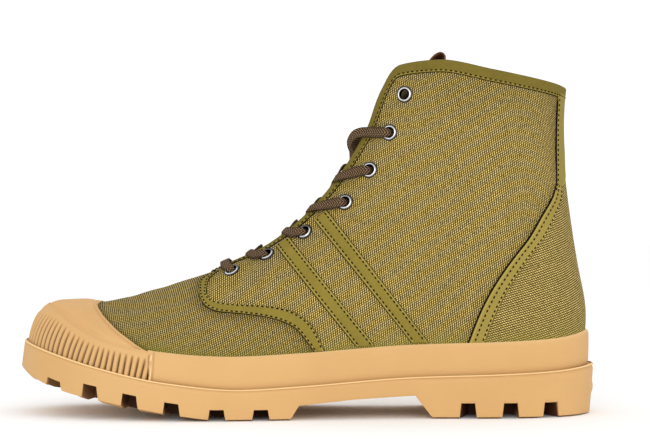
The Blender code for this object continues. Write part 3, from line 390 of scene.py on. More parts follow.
def pchip(knots, values, at):
    """Monotone cubic through the knots; values may have several columns."""
    knots = np.asarray(knots, float)
    values = np.asarray(values, float).reshape(len(knots), -1)
    at = np.clip(np.asarray(at, float), knots[0], knots[-1])
    step = np.diff(knots)[:, None]
    rate = np.diff(values, axis=0) / step
    slope = np.zeros_like(values)
    slope[0] = rate[0]
    slope[-1] = rate[-1]
    near = 2 * step[1:] + step[:-1]
    far = step[1:] + 2 * step[:-1]
    same = rate[:-1] * rate[1:] > 0
    safe_a = np.where(same, rate[:-1], 1.0)
    safe_b = np.where(same, rate[1:], 1.0)
    slope[1:-1] = np.where(same, (near + far) / (near / safe_a + far / safe_b), 0.0)
    i = np.clip(np.searchsorted(knots, at, side="right") - 1, 0, len(knots) - 2)
    h = step[i, 0][..., None]
    t = (at - knots[i])[..., None] / h
    return ((1 + 2 * t) * (1 - t) ** 2 * values[i] + t * (1 - t) ** 2 * h * slope[i]
            + t * t * (3 - 2 * t) * values[i + 1] + t * t * (t - 1) * h * slope[i + 1])


def table(rows, at):
    """Value of a two-column table at a place."""
    rows = np.asarray(rows, float)
    return pchip(rows[:, 0], rows[:, 1], at)[..., 0]


def run_along(points, axis=0):
    """Length from the first point to each point of a line, or of every line of a grid along an axis."""
    first = np.take(points, [0], axis)
    return np.cumsum(np.linalg.norm(np.diff(points, axis=axis, prepend=first), axis=-1), axis=axis)


def unit(vectors):
    """The vectors at length 1."""
    return vectors / np.maximum(np.linalg.norm(vectors, axis=-1, keepdims=True), 1e-9)


def smooth_line(points, count):
    """Points evenly spaced along a smooth line through the given ones."""
    points = np.asarray(points, float)
    run = run_along(points)
    return pchip(run, points, np.linspace(0.0, run[-1], count))


def closed_spline(points, steps):
    """Periodic cubic spline through the points with chord-length knots."""
    p = np.asarray(points, float)
    count = len(p)
    after = np.roll(p, -1, axis=0)
    before = np.roll(p, 1, axis=0)
    h = np.linalg.norm(after - p, axis=1)
    h_before = np.roll(h, 1)
    system = np.zeros((count, count))
    row = np.arange(count)
    system[row, row - 1] += h_before
    system[row, row] += 2 * (h_before + h)
    system[row, (row + 1) % count] += h
    bend = np.linalg.solve(system, 6 * ((after - p) / h[:, None] - (p - before) / h_before[:, None]))
    bend_after = np.roll(bend, -1, axis=0)
    t = np.linspace(0.0, 1.0, steps, endpoint=False)[None, :, None]
    h = h[:, None, None]
    a = t * h
    b = h - a
    curve = (bend[:, None] * b ** 3 / (6 * h) + bend_after[:, None] * a ** 3 / (6 * h)
             + (p[:, None] / h - bend[:, None] * h / 6) * b
             + (after[:, None] / h - bend_after[:, None] * h / 6) * a)
    return curve.reshape(-1, p.shape[1])


def first_reach(rising, levels, target):
    """Level at which each row of rising values reaches its target, along straight lines."""
    target = np.asarray(target, float)[..., None]
    i = np.clip((rising < target).sum(-1), 1, rising.shape[-1] - 1)
    low = np.take_along_axis(rising, i[..., None] - 1, -1)[..., 0]
    high = np.take_along_axis(rising, i[..., None], -1)[..., 0]
    t = np.clip((target[..., 0] - low) / np.maximum(high - low, 1e-9), 0.0, 1.0)
    return levels[i - 1] + t * (levels[i] - levels[i - 1])


class Outline:
    """Edge of the outsole: a point and its outward normal by share of a side's length."""

    def __init__(self):
        ring = closed_spline(OUTLINE, OUTLINE_STEPS)
        ring = ring - (ring.max(axis=0) + ring.min(axis=0)) / 2
        heel = HEEL_BACK * OUTLINE_STEPS
        self.lines = {LATERAL: ring[:heel + 1],
                      MEDIAL: np.concatenate([ring[heel:], ring[:1]])[::-1]}
        self.shares = {side: run_along(line) / run_along(line)[-1] for side, line in self.lines.items()}

    def at(self, side, share, inset):
        """Point at a share of a side's length, moved in by the inset, and the outward normal there."""
        line = self.lines[side]
        length = self.shares[side]
        along = np.gradient(line, length, axis=0)
        along[0] = (0.0, side)
        along[-1] = (0.0, -side)
        along = unit(along)
        outward = np.stack([along[:, 1], -along[:, 0]], axis=1) * -side
        spot = np.stack([np.interp(share, length, line[:, k]) for k in (0, 1)], axis=-1)
        out = unit(np.stack([np.interp(share, length, outward[:, k]) for k in (0, 1)], axis=-1))
        return spot - out * np.asarray(inset)[..., None], out

    def share_at(self, side, x):
        """Share of a side's length at which its edge passes x."""
        return np.interp(x, np.maximum.accumulate(self.lines[side][:, 0]), self.shares[side])


def ledge(x):
    """Height of the outsole's ledge at x."""
    return table(LEDGE, x)


def tread(x):
    """Height of the tread's lowest face at x."""
    return table(TREAD, x)


def section(u):
    """Row values at u; mirrored rows past both ends keep the toe and heel smooth."""
    rows = np.asarray(SECTIONS, float)
    mirror = np.array([-1.0 if name in ("share", "half", "turn") else 1.0 for name in SECTION_COLUMNS])
    past = np.array([{"share": 2.0, "turn": 360.0}.get(name, 0.0) for name in SECTION_COLUMNS])
    rows = np.concatenate([rows[1:2] * mirror, rows, rows[-2:-1] * mirror + past])
    knots = np.arange(-1, LAST_ROW + 2) / LAST_ROW
    values = pchip(knots, rows, u)
    return {name: values[..., i] for i, name in enumerate(SECTION_COLUMNS)}


class Upper:
    """The canvas upper's outer face as a function of side, u and v."""

    def __init__(self, outline):
        self.outline = outline
        self.u_grid, self.v_grid = np.meshgrid(np.linspace(0, 1, 91), np.linspace(0, 1, 41), indexing="ij")
        self.samples = {side: self.face(side, self.u_grid, self.v_grid) for side in SIDES.values()}

    def face(self, side, u, v):
        """(1-v)^3 P0 + 3(1-v)^2 v P1 + 3(1-v) v^2 P2 + v^3 P3 with P0 on the sole."""
        u, v = np.broadcast_arrays(np.asarray(u, float), np.asarray(v, float))
        row = section(u)
        spot, out = self.outline.at(side, row["share"], row["inset"])
        level = 0.0 * u
        up = np.array([0.0, 0.0, 1.0])
        foot = np.stack([spot[..., 0], spot[..., 1], ledge(spot[..., 0]) + GAP], axis=-1)
        out = np.stack([out[..., 0], out[..., 1], level], axis=-1)
        turn = np.radians(row["turn"])
        aside = np.stack([-np.cos(turn), side * np.sin(turn), level], axis=-1)
        top = np.stack([row["top_x"], row["shift"] + side * row["half"], row["top_z"]], axis=-1)
        low = foot + out * row["flare"][..., None] + up * row["rise"][..., None]
        high = top + aside * row["spread"][..., None] - up * row["drop"][..., None]
        v = v[..., None]
        return (1 - v) ** 3 * foot + 3 * (1 - v) ** 2 * v * low + 3 * (1 - v) * v * v * high + v ** 3 * top

    def carried(self, side, u, v):
        """The face carried on past the toe, heel and vamp ridge onto the other side."""
        flip = (u < 0) | (u > 1)
        u = np.where(u < 0, -u, np.where(u > 1, 2 - u, u))
        over = (v > 1) & (u < THROAT_U)
        v = np.where(over, 2 - v, v)
        return np.where((flip ^ over)[..., None], self.face(-side, u, v), self.face(side, u, v))

    def slant(self, side, u, v):
        """Unit outward normal from central differences."""
        reach = 0.002
        below = np.where(v - reach < 0, v, v - reach)
        above = np.where((v + reach > 1) & (u >= THROAT_U), v, v + reach)
        along = self.carried(side, u + reach, v) - self.carried(side, u - reach, v)
        upward = self.carried(side, u, above) - self.carried(side, u, below)
        return unit(np.cross(along, upward) * -side)

    def normal(self, side, u, v):
        """Unit outward normal; by the toe's ridge, where u and v run together, both sides' mean."""
        u, v = np.broadcast_arrays(np.asarray(u, float), np.asarray(v, float))
        corner = (u < 0.03) & (v > 0.975)
        v = np.where(corner, 0.975, v)
        out = self.slant(side, u, v)
        return unit(np.where(corner[..., None], out + self.slant(-side, u, v), out))

    def at(self, side, u, v, offset=0.0):
        """Point at u, v moved outward by the offset."""
        return self.face(side, u, v) + np.asarray(offset)[..., None] * self.normal(side, u, v)

    def find(self, side, spots):
        """u and v of points seen at x, z in the side view: nearest sample, then Newton steps."""
        spots = np.asarray(spots, float)
        flat = spots.reshape(-1, 2)
        cloud = self.samples[side][..., (0, 2)].reshape(-1, 2)
        near = ((flat[:, None] - cloud[None]) ** 2).sum(-1).argmin(1)
        u = self.u_grid.ravel()[near]
        v = self.v_grid.ravel()[near]
        for _ in range(12):
            here = self.face(side, u, v)
            u_low, u_high = np.clip(u - 1e-4, 0, 1), np.clip(u + 1e-4, 0, 1)
            v_low, v_high = np.clip(v - 1e-4, 0, 1), np.clip(v + 1e-4, 0, 1)
            by_u = (self.face(side, u_high, v) - self.face(side, u_low, v)) / (u_high - u_low)[:, None]
            by_v = (self.face(side, u, v_high) - self.face(side, u, v_low)) / (v_high - v_low)[:, None]
            area = by_u[:, 0] * by_v[:, 2] - by_u[:, 2] * by_v[:, 0]
            area = np.where(np.abs(area) < 1e-3, 1e-3, area)
            rest_x = flat[:, 0] - here[:, 0]
            rest_z = flat[:, 1] - here[:, 2]
            move_u = (rest_x * by_v[:, 2] - rest_z * by_v[:, 0]) / area
            move_v = (by_u[:, 0] * rest_z - by_u[:, 2] * rest_x) / area
            u = np.clip(u + np.clip(move_u, -0.02, 0.02), 0.0, 1.0)
            v = np.clip(v + np.clip(move_v, -0.02, 0.02), 0.0, 1.0)
        return u.reshape(spots.shape[:-1]), v.reshape(spots.shape[:-1])

    def v_at_height(self, side, u, height):
        """v where each meridian stands a height above the ledge at its foot; u of any shape."""
        levels = np.linspace(0.0, 1.0, 401)
        z = self.face(side, u[..., None], levels)[..., 2]
        z = np.maximum.accumulate(z - z[..., :1] + GAP, axis=-1)
        return first_reach(z, levels, height)

    def v_below_top(self, side, u, distance):
        """v at a distance along each meridian below its top edge; u of any shape."""
        levels = np.linspace(0.4, 1.0, 241)
        points = self.face(side, u[..., None], levels)
        run = run_along(points, u.ndim)
        return first_reach(run, levels, run[..., -1] - distance)


EDGE = Outline()
LAST = Upper(EDGE)


def both_sides(lateral, medial):
    """Rows from the lateral end round the heel to the medial end; the heel row is kept once."""
    return np.concatenate([lateral, medial[::-1][1:]])


def quads(rows, columns, wrap_rows=False, wrap_columns=False):
    """Corner numbers of the faces of a grid of points stored row after row."""
    i, j = np.meshgrid(np.arange(rows if wrap_rows else rows - 1),
                       np.arange(columns if wrap_columns else columns - 1), indexing="ij")
    k = (i + 1) % rows
    m = (j + 1) % columns
    return np.stack([i * columns + j, k * columns + j, k * columns + m, i * columns + m], -1).reshape(-1, 4)


def shell(outer, inner, faces):
    """Points and faces of a closed wall: the faces, the same on the inner points, and a rim."""
    used, faces = np.unique(faces, return_inverse=True)
    faces = faces.reshape(-1, 4)
    edges = np.concatenate([faces[:, [k, (k + 1) % 4]] for k in range(4)])
    _, first, uses = np.unique(np.sort(edges, axis=1), axis=0, return_index=True, return_counts=True)
    rim = edges[first[uses == 1]]
    count = len(used)
    joined = np.concatenate([faces, faces[:, ::-1] + count,
                             np.stack([rim[:, 1], rim[:, 0], rim[:, 0] + count, rim[:, 1] + count], -1)])
    return np.concatenate([outer[used], inner[used]]), joined, used


def loft_faces(rows, columns, closed=False):
    """Faces of a tube of section rings, with its two ends unless it closes on itself."""
    faces = quads(rows, columns, closed, True).tolist()
    if not closed:
        faces.append(list(range(columns))[::-1])
        faces.append(list(range((rows - 1) * columns, rows * columns)))
    return faces


def join_lofts(rings):
    """Points and faces of one or more tubes, each a grid of section rings, in one mesh."""
    points = []
    faces = []
    count = 0
    for ring in rings:
        faces += [[count + k for k in face] for face in loft_faces(*ring.shape[:2])]
        points.append(ring.reshape(-1, 3))
        count += len(points[-1])
    return np.concatenate(points), faces


def face_outward(mesh):
    """Turns the faces of a closed mesh outward."""
    shape = bmesh.new()
    shape.from_mesh(mesh)
    bmesh.ops.recalc_face_normals(shape, faces=shape.faces)
    shape.to_mesh(mesh)
    shape.free()


def make_piece(name, points, faces, finishes, slot, nodes=(), uv=None, marks=None, kinds=None, crease=45.0):
    """Object from millimetre points: uv is a row per point or per face corner, marks are point values,
    kinds is the number of each face's finish, and nodes are the solids that the piece stands for."""
    mesh = bpy.data.meshes.new(name)
    mesh.from_pydata((points * MM).tolist(), [], faces.tolist() if isinstance(faces, np.ndarray) else faces)
    corners = np.empty(len(mesh.loops), np.int32)
    mesh.loops.foreach_get("vertex_index", corners)
    if uv is not None:
        uv = np.asarray(uv, np.float32)
        layer = mesh.uv_layers.new(name="cloth")
        layer.data.foreach_set("uv", (uv if len(uv) == len(corners) else uv[corners]).ravel())
    for label, values in (marks or {}).items():
        made = mesh.attributes.new(label, "FLOAT", "POINT")
        made.data.foreach_set("value", np.asarray(values, np.float32))
    for finish in finishes:
        mesh.materials.append(finish)
    if kinds is not None:
        mesh.polygons.foreach_set("material_index", np.asarray(kinds, np.int32))
    face_outward(mesh)
    mesh.polygons.foreach_set("use_smooth", np.ones(len(mesh.polygons), bool))
    mesh.set_sharp_from_angle(angle=math.radians(crease))
    item = bpy.data.objects.new(name, mesh)
    bpy.context.scene.collection.objects.link(item)
    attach(item, "root")
    if nodes:
        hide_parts(*nodes)
    return item


class Wire:
    """An output of a material's nodes; arithmetic on it adds Math nodes."""

    def __init__(self, paint, socket):
        self.paint = paint
        self.socket = socket

    def math(self, operation, *others):
        """Math node with this value first, then the others."""
        return self.paint.math(operation, self, *others)

    def __add__(self, other):
        return self.math("ADD", other)

    def __sub__(self, other):
        return self.math("SUBTRACT", other)

    def __rsub__(self, other):
        return self.paint.math("SUBTRACT", other, self)

    def __mul__(self, other):
        return self.math("MULTIPLY", other)

    def __truediv__(self, other):
        return self.math("DIVIDE", other)

    def __rtruediv__(self, other):
        return self.paint.math("DIVIDE", other, self)

    __radd__ = __add__
    __rmul__ = __mul__


class Paint:
    """A material with its Principled shader."""

    def __init__(self, name):
        self.material = bpy.data.materials.new(name)
        self.material.use_nodes = True
        self.tree = self.material.node_tree
        self.shader = self.tree.nodes["Principled BSDF"]

    def node(self, kind, settings=None, sockets=None, output=0):
        """Any node: its settings are set first, then the values or links of its sockets."""
        made = self.tree.nodes.new(kind)
        for key, value in (settings or {}).items():
            setattr(made, key, value)
        for key, value in (sockets or {}).items():
            if isinstance(value, Wire):
                self.tree.links.new(value.socket, made.inputs[key])
            else:
                made.inputs[key].default_value = value
        return Wire(self, made.outputs[output])

    def math(self, operation, *values):
        """Math node of values or wires."""
        return self.node("ShaderNodeMath", {"operation": operation}, dict(enumerate(values)))

    def mix(self, share, a, b):
        """Colour a where the share is 0, colour b where it is 1."""
        a, b = [c if isinstance(c, Wire) else (*c, 1.0) for c in (a, b)]
        return self.node("ShaderNodeMix", {"data_type": "RGBA"}, {0: share, 6: a, 7: b}, 2)

    def step(self, low, high, value):
        """Soft step from 0 at low to 1 at high."""
        return self.node("ShaderNodeMapRange", {"interpolation_type": "SMOOTHSTEP"},
                         {0: value, 1: low, 2: high})

    def noise(self, scale, detail=2.0, rough=0.5):
        """Cloudy noise on Object coordinates, with scale lumps to the metre."""
        place = self.node("ShaderNodeTexCoord", output="Object")
        return self.node("ShaderNodeTexNoise", None, {"Vector": place, "Scale": scale, "Detail": detail,
                                                      "Roughness": rough})

    def wave(self, turns):
        """Sine of a number of half turns."""
        return (turns * math.pi).math("SINE")

    def cloth(self):
        """The piece's own coordinates in millimetres: along it and across it."""
        uv = self.node("ShaderNodeUVMap", {"uv_map": "cloth"})
        along = self.node("ShaderNodeSeparateXYZ", None, {0: uv})
        return along, Wire(self, along.socket.node.outputs[1])

    def mark(self, name):
        """A point value of the mesh."""
        return self.node("ShaderNodeAttribute", {"attribute_name": name}, None, "Fac")

    def finish(self, colour, rough, height=None, depth=0.1, strength=1.0, specular=0.5):
        """Links the colour, the roughness unless it is a number, and the height in millimetres as bump."""
        self.tree.links.new(colour.socket, self.shader.inputs["Base Color"])
        if isinstance(rough, Wire):
            self.tree.links.new(rough.socket, self.shader.inputs["Roughness"])
        else:
            self.shader.inputs["Roughness"].default_value = rough
        self.shader.inputs["Specular IOR Level"].default_value = specular
        if height is not None:
            bump = self.node("ShaderNodeBump", None, {"Height": height, "Distance": depth * MM,
                                                      "Strength": strength}, "Normal")
            self.tree.links.new(bump.socket, self.shader.inputs["Normal"])
        return self.material


def made_once(build):
    """Keeps the material that a function makes, so that every piece shares it."""
    def get():
        return bpy.data.materials.get(build.__name__) or build(Paint(build.__name__))
    return get


def scaled(colour, share):
    """A colour with its brightness scaled."""
    return tuple(np.array(colour) * share)


def weave(paint, light, mid, dark, warp, weft):
    """Plain weave: sin(pi a) sin(pi b) is over 0 where a warp yarn is on top, with a slant from
    cos(pi a) cos(pi b); sin(pi a)^2 is 0 in the gap between two warp yarns, and every crossing has a
    tone of its own and a fine grain."""
    across, up = paint.cloth()
    a = across / warp + (paint.noise(80.0, 3.0) - 0.5) * 0.7
    b = up / weft + (paint.noise(60.0, 3.0) - 0.5) * 0.9
    column = paint.wave(a)
    over = column * paint.wave(b) * 0.5
    over = over + (a * math.pi).math("COSINE") * (b * math.pi).math("COSINE") * 0.35
    yarn = column * column
    warp_top = paint.step(-0.5, 0.6, over)
    cell = paint.node("ShaderNodeCombineXYZ", None, {0: a.math("FLOOR"), 1: b.math("FLOOR")})
    tone = paint.node("ShaderNodeTexWhiteNoise", {"noise_dimensions": "2D"}, {"Vector": cell})
    grain = paint.noise(1600.0, 1.0) - 0.5
    # painted shade: the dark colour fills the gaps between warp yarns; painted highlight: the light colour
    # lies on the warp yarns on top, over the yarns' mid colour
    colour = paint.mix(yarn * (tone * 0.06 + grain * 1.6 + 0.78), dark, mid)
    colour = paint.mix(warp_top * yarn * (tone * 0.08 + grain * 1.8 + 0.73), colour, light)
    return colour, warp_top * yarn + yarn * 0.4


@made_once
def olive_canvas(paint):
    """Canvas weave with faint blotches, greener by the rubber (stain), and painted shade where marked
    (shade).
    """
    tints = colours()
    colour, height = weave(paint, tints.canvas_light, tints.canvas_mid, tints.canvas_dark,
                           sizes().warp_pitch / MM, sizes().weft_pitch / MM)
    blotch = paint.step(0.35, 0.75, paint.noise(26.0, 4.0, 0.6))
    colour = paint.mix(blotch * 0.05 + 0.04, colour, tints.canvas_dark)
    stain = paint.mark("stain") * (paint.noise(55.0, 3.0) * 1.3 + 0.1)
    colour = paint.mix(stain.math("MINIMUM", 0.85), colour, tints.canvas_stain)
    # painted shade: the shade mark darkens the canvas
    colour = paint.mix(paint.mark("shade"), colour, tints.canvas_dark)
    return paint.finish(colour, 0.95 - height * 0.12, height, 0.22, 0.9, 0.15)


@made_once
def lining_cloth(paint):
    """Finer plain weave, soiled in soft patches."""
    tint = colours().lining
    colour, height = weave(paint, scaled(tint, 1.1), tint, scaled(tint, 0.6), 0.55, 0.5)
    soil = paint.step(0.45, 0.8, paint.noise(18.0, 4.0))
    colour = paint.mix(soil * 0.3, colour, scaled(tint, 0.55))
    return paint.finish(colour, 0.95 - height * 0.08, height, 0.1, 0.7, 0.1)


@made_once
def olive_tape(paint):
    """Smooth twill tape: fine slanting ribs, a painted highlight along the fold and a painted shadow along
    each edge, uneven dye.
    """
    tints = colours()
    along, across = paint.cloth()
    rib = paint.wave(along * 2.2 + across * 3.4)
    dye = paint.noise(60.0, 4.0, 0.6)
    streak = paint.noise(420.0, 2.0)
    rim = paint.mark("rim")
    colour = paint.mix(paint.step(0.35, 0.7, dye) * 0.45, tints.tape, scaled(tints.tape, 0.78))
    colour = paint.mix(paint.step(0.45, 0.75, streak) * 0.3, colour, scaled(tints.tape, 1.25))
    # painted highlight where rim is over 0 (with a strip's paler tone), painted shadow where it is under 0
    colour = paint.mix(rim.math("MAXIMUM", 0.0), colour, tints.tape_edge)
    colour = paint.mix((rim * -1.0).math("MAXIMUM", 0.0), colour, scaled(tints.canvas_dark, 0.6))
    colour = paint.mix(rib * 0.06 + 0.06, colour, tints.canvas_dark)
    return paint.finish(colour, 0.78 + dye * 0.15, rib * 0.5 + streak * 1.2, 0.05, 0.8, 0.15)


@made_once
def dark_thread(paint):
    """Dull twisted thread, its tone and bump from one fine noise."""
    strand = paint.noise(2600.0, 1.0)
    tint = colours().thread
    colour = paint.mix(strand, scaled(tint, 0.6), scaled(tint, 1.5))
    return paint.finish(colour, 0.75 + strand * 0.2, strand, 0.05, 0.6, 0.05)


@made_once
def tan_rubber(paint):
    """Moulded rubber: cloudy tone, fine pits, painted shade in the hollows marked as deep, and moulded
    edges marked as pale, partly paler rubber and partly painted highlight.
    """
    tints = colours()
    cloud = paint.noise(14.0, 4.0, 0.55)
    speck = paint.noise(900.0, 2.0, 0.6)
    colour = paint.mix(paint.step(0.3, 0.75, cloud) * 0.75, tints.rubber, tints.rubber_dark)
    colour = paint.mix(paint.step(0.62, 0.85, speck) * 0.18, colour, scaled(tints.rubber_dark, 0.75))
    scuff = paint.step(0.66, 0.8, paint.noise(120.0, 5.0, 0.7)) * 0.15
    colour = paint.mix(scuff, colour, scaled(tints.rubber, 1.2))
    # painted shade: dark brown in the tread grooves, between the ribs, beside the bumper's end ridge and
    # inside the toe cap's rim
    colour = paint.mix(paint.mark("deep"), colour, scaled(tints.rubber_dark, (0.13, 0.06, 0.03)))
    # pale: paler moulded rubber with a painted highlight on the foxing lip, the ledge's lip and the bumper's
    # end ridge
    colour = paint.mix(paint.mark("pale"), colour, tints.rubber_pale)
    rough = 0.52 + speck * 0.12 + cloud * 0.1
    return paint.finish(colour, rough, speck + paint.noise(260.0, 2.0) * 0.8, 0.06, 0.5, 0.35)


@made_once
def braided_lace(paint):
    """Flat braid: fine slanting yarns that meet in the middle, with painted shade along both edges."""
    tint = colours().lace
    along, across = paint.cloth()
    slope = across.math("ABSOLUTE")
    first = paint.wave(along * 1.5 + slope * 1.2)
    second = paint.wave(across * 2.2)
    height = paint.step(-0.8, 0.8, first) * (second * 0.35 + 0.65)
    fuzz = paint.noise(1500.0, 2.0)
    colour = paint.mix(height * (fuzz * 1.3 + 0.15), scaled(tint, 0.1), scaled(tint, 2.7))
    # painted shade along both edges of the lace
    colour = paint.mix(paint.step(1.5, 2.6, slope) * 0.75, colour, scaled(tint, 0.25))
    return paint.finish(colour, 0.92 - height * 0.1, height + fuzz * 0.2, 0.16, 0.8, 0.12)


@made_once
def plated_metal(paint):
    """Blackened metal with a painted glint: brighter base colour along the crest, marked as painted_glint."""
    paint.shader.inputs["Metallic"].default_value = 1.0
    wear = paint.noise(700.0, 3.0, 0.6)
    tint = colours().metal
    # painted glint: a reflection painted as bright base colour along the crest; elsewhere near black
    share = paint.mark("painted_glint") * (wear * 0.5 + 0.75)
    colour = paint.mix(share.math("MINIMUM", 1.0), scaled(tint, 0.03), tint)
    return paint.finish(colour, 0.2 + wear * 0.2, wear, 0.02, 0.4)


@made_once
def insole_cloth(paint):
    """Coarser plain weave, worn in soft patches."""
    tint = colours().insole
    colour, height = weave(paint, scaled(tint, 1.1), tint, scaled(tint, 0.65), 0.8, 0.8)
    wear = paint.step(0.4, 0.75, paint.noise(16.0, 4.0))
    colour = paint.mix(wear * 0.25, colour, scaled(tint, 0.6))
    return paint.finish(colour, 0.95 - height * 0.1, height, 0.12, 0.7)


@made_once
def loop_webbing(paint):
    """Ribbed webbing, with painted shade on the side marked as inside."""
    tint = colours().loop
    along, across = paint.cloth()
    rib = paint.wave(along * 2.6) * 0.5 + 0.5
    cord = paint.wave(across * 3.2) * 0.5 + 0.5
    fuzz = paint.noise(900.0, 2.0)
    colour = paint.mix(rib * cord * 0.8 + fuzz * 0.2, scaled(tint, 0.7), scaled(tint, 1.55))
    # painted shade on the loop's inner face
    colour = paint.mix(paint.mark("inside") * 0.15, colour, scaled(tint, 0.1))
    return paint.finish(colour, 0.8 + fuzz * 0.15, rib + cord * 0.6, 0.15, 0.8)


def beside(line, spots):
    """Signed distance of side-view spots from a line of points, positive on its left."""
    line = np.asarray(line, float)
    a = line[:-1]
    d = np.diff(line, axis=0)
    rest = spots[..., None, :] - a
    t = np.clip((rest * d).sum(-1) / (d * d).sum(-1), 0.0, 1.0)
    away = np.linalg.norm(rest - t[..., None] * d, axis=-1)
    k = away.argmin(-1)[..., None]
    turn = d[:, 0] * rest[..., 1] - d[:, 1] * rest[..., 0]
    return (np.take_along_axis(away, k, -1) * np.sign(np.take_along_axis(turn, k, -1)))[..., 0]


def quarter_front():
    """Side-view line under the middle of the quarter's edge tape, from the throat to the sole."""
    middle = (smooth_line(QUARTER_TAPE[0], 40) + smooth_line(QUARTER_TAPE[1], 40)) / 2
    return np.concatenate([[[-36.0, 90.0]], middle, [[8.0, 15.0]]])


def counter_front():
    """Side-view line of the counter's front seam, from above the collar to the sole."""
    seam = np.asarray(COUNTER_SEAM, float)[:, ::-1]
    return np.concatenate([[[129.5, 190.0]], seam, [[78.0, 15.0]]])


def canvas_relief(spots):
    """Offset of the canvas: panel steps, dimples round the eyelets, a swell low on the heel and soft
    creases, a mound or trough exp(-(distance / half width)^2) along each crease line."""
    quarter = beside(quarter_front(), spots)
    counter = beside(counter_front(), spots)
    step = sizes().panel_step / MM
    lift = step * (smooth(-1.2, 0.4, quarter) - 0.4) - 0.5 * step * smooth(-0.2, 1.4, counter)
    for eyelet in EYELETS:
        lift = lift - EYELET_DIMPLE * np.exp(-((spots - eyelet) ** 2).sum(-1) / 30.0)
    high, level, half, start, whole = HEEL_SWELL
    x, z = np.moveaxis(spots, -1, 0)
    lift = lift + high * np.exp(-((z - level) / half) ** 2) * smooth(start, whole, x)
    for x0, z0, x1, z1, half, depth in CREASES:
        middle = ((x0 + x1) / 2, (z0 + z1) / 2 + 0.15 * abs(x1 - x0))
        distance = beside([(x0, z0), middle, (x1, z1)], spots)
        lift = lift - depth * np.exp(-(distance / half) ** 2)
    return lift, quarter, counter


def nearest(points, line):
    """Distance of each point of a grid from the nearest point of a line."""
    return np.linalg.norm(points[..., None, :] - line, axis=-1).min(-1)


def cap_edge():
    """u, v of the toe cap's border, from the ridge down to the seam."""
    border = np.asarray(CAP_BORDER, float)
    return pchip(np.linspace(0.0, 1.0, len(border)), border, np.linspace(0.0, 1.0, 70))


def make_upper():
    """Hollow canvas upper: outer face and lining on one u, v grid, welded along the vamp's ridge. Vamp,
    quarters and counter each have a run of the weave; painted shade darkens it by the seams and the toe
    cap and over the vamp, and it is darker toward the top edge."""
    u = np.linspace(0.0, 1.0, UPPER_COLUMNS + 1)
    v = np.linspace(0.0, 1.0, 73)
    halves = []
    for side in SIDES.values():
        face = LAST.face(side, u[:, None], v[None])
        out = LAST.normal(side, u[:, None], v[None])
        lift, quarter, counter = canvas_relief(face[..., (0, 2)])
        cap = nearest(face, LAST.face(side, *cap_edge().T))
        girth = run_along(face, 1)
        height = face[..., 2] - face[:, :1, 2]
        level = run_along(face[..., :2], 0)
        level = level - level[FLAT_COLUMN] + face[FLAT_COLUMN, :, 0]
        below = girth[:, -1:] - girth
        halves.append([face + out * lift[..., None], face - out * WALL,
                       quarter, counter, girth, height, cap, level, below])
    outer, inner, *values = [np.concatenate([a, b[::-1][1:-1]]) for a, b in zip(*halves)]
    columns, levels = outer.shape[:2]
    number = np.arange(columns * levels).reshape(columns, levels)
    roof = np.arange(1, int(round(THROAT_U * UPPER_COLUMNS)) + 1)
    number[columns - roof, -1] = number[roof, -1]
    after = np.roll(number, -1, axis=0)
    faces = np.stack([number[:, :-1], after[:, :-1], after[:, 1:], number[:, 1:]], -1).reshape(-1, 4)
    points, joined, used = shell(outer.reshape(-1, 3), inner.reshape(-1, 3), faces)
    count = len(used)

    x, _, z = outer.reshape(-1, 3)[used].T
    quarter, counter, girth, height, cap, level, below = [value.ravel()[used] for value in values]
    vamp_uv = np.stack([x + 0.18 * girth, girth], -1)
    quarter_uv = np.stack([level + 0.13 * z, z - 0.072 * level], -1)
    counter_uv = np.stack([0.28 * level - 0.95 * z, 0.97 * level + 0.23 * z], -1)
    corner = joined % count
    panel = np.where(counter[corner].mean(1) > 0, 2, np.where(quarter[corner].mean(1) > 0, 1, 0))
    uv = np.stack([vamp_uv, quarter_uv, counter_uv])[panel[:, None], corner].reshape(-1, 2)
    stain = np.exp(-np.maximum(height - 14.0, 0.0) / 3.5)
    edge = np.minimum(np.abs(quarter + 3.0), np.abs(counter))
    # painted shade: dark lines beside the tape edges and the toe cap's border, and the vamp a little darker;
    # the canvas is also darker toward the top edge
    shade = 0.35 * np.exp(-edge / 2.5) + 0.45 * np.exp(-(cap / 1.6) ** 2)
    shade = shade + 0.13 * smooth(0.0, -4.0, quarter)
    shade = shade + 0.17 * np.exp(-(below / 24.0) ** 2) * smooth(-4.0, 0.0, quarter)
    lining = np.zeros(count)
    item = make_piece("canvas_upper", points, joined, [olive_canvas(), lining_cloth()], "canvas_olive",
                      nodes=["upper"], uv=uv, kinds=(joined >= count).all(1), crease=60.0,
                      marks={"stain": np.concatenate([stain, lining]),
                             "shade": np.concatenate([shade, lining])})
    cut_eyelet_holes(item)


def eyelet_stands(side):
    """Centre, outward normal and two tangents of each eyelet of a side, as arrays."""
    u, v = LAST.find(side, EYELETS)
    out = LAST.normal(side, u, v)
    level = unit(np.cross(np.array([0.0, 0.0, 1.0]), out))
    return LAST.face(side, u, v), out, level, np.cross(out, level)


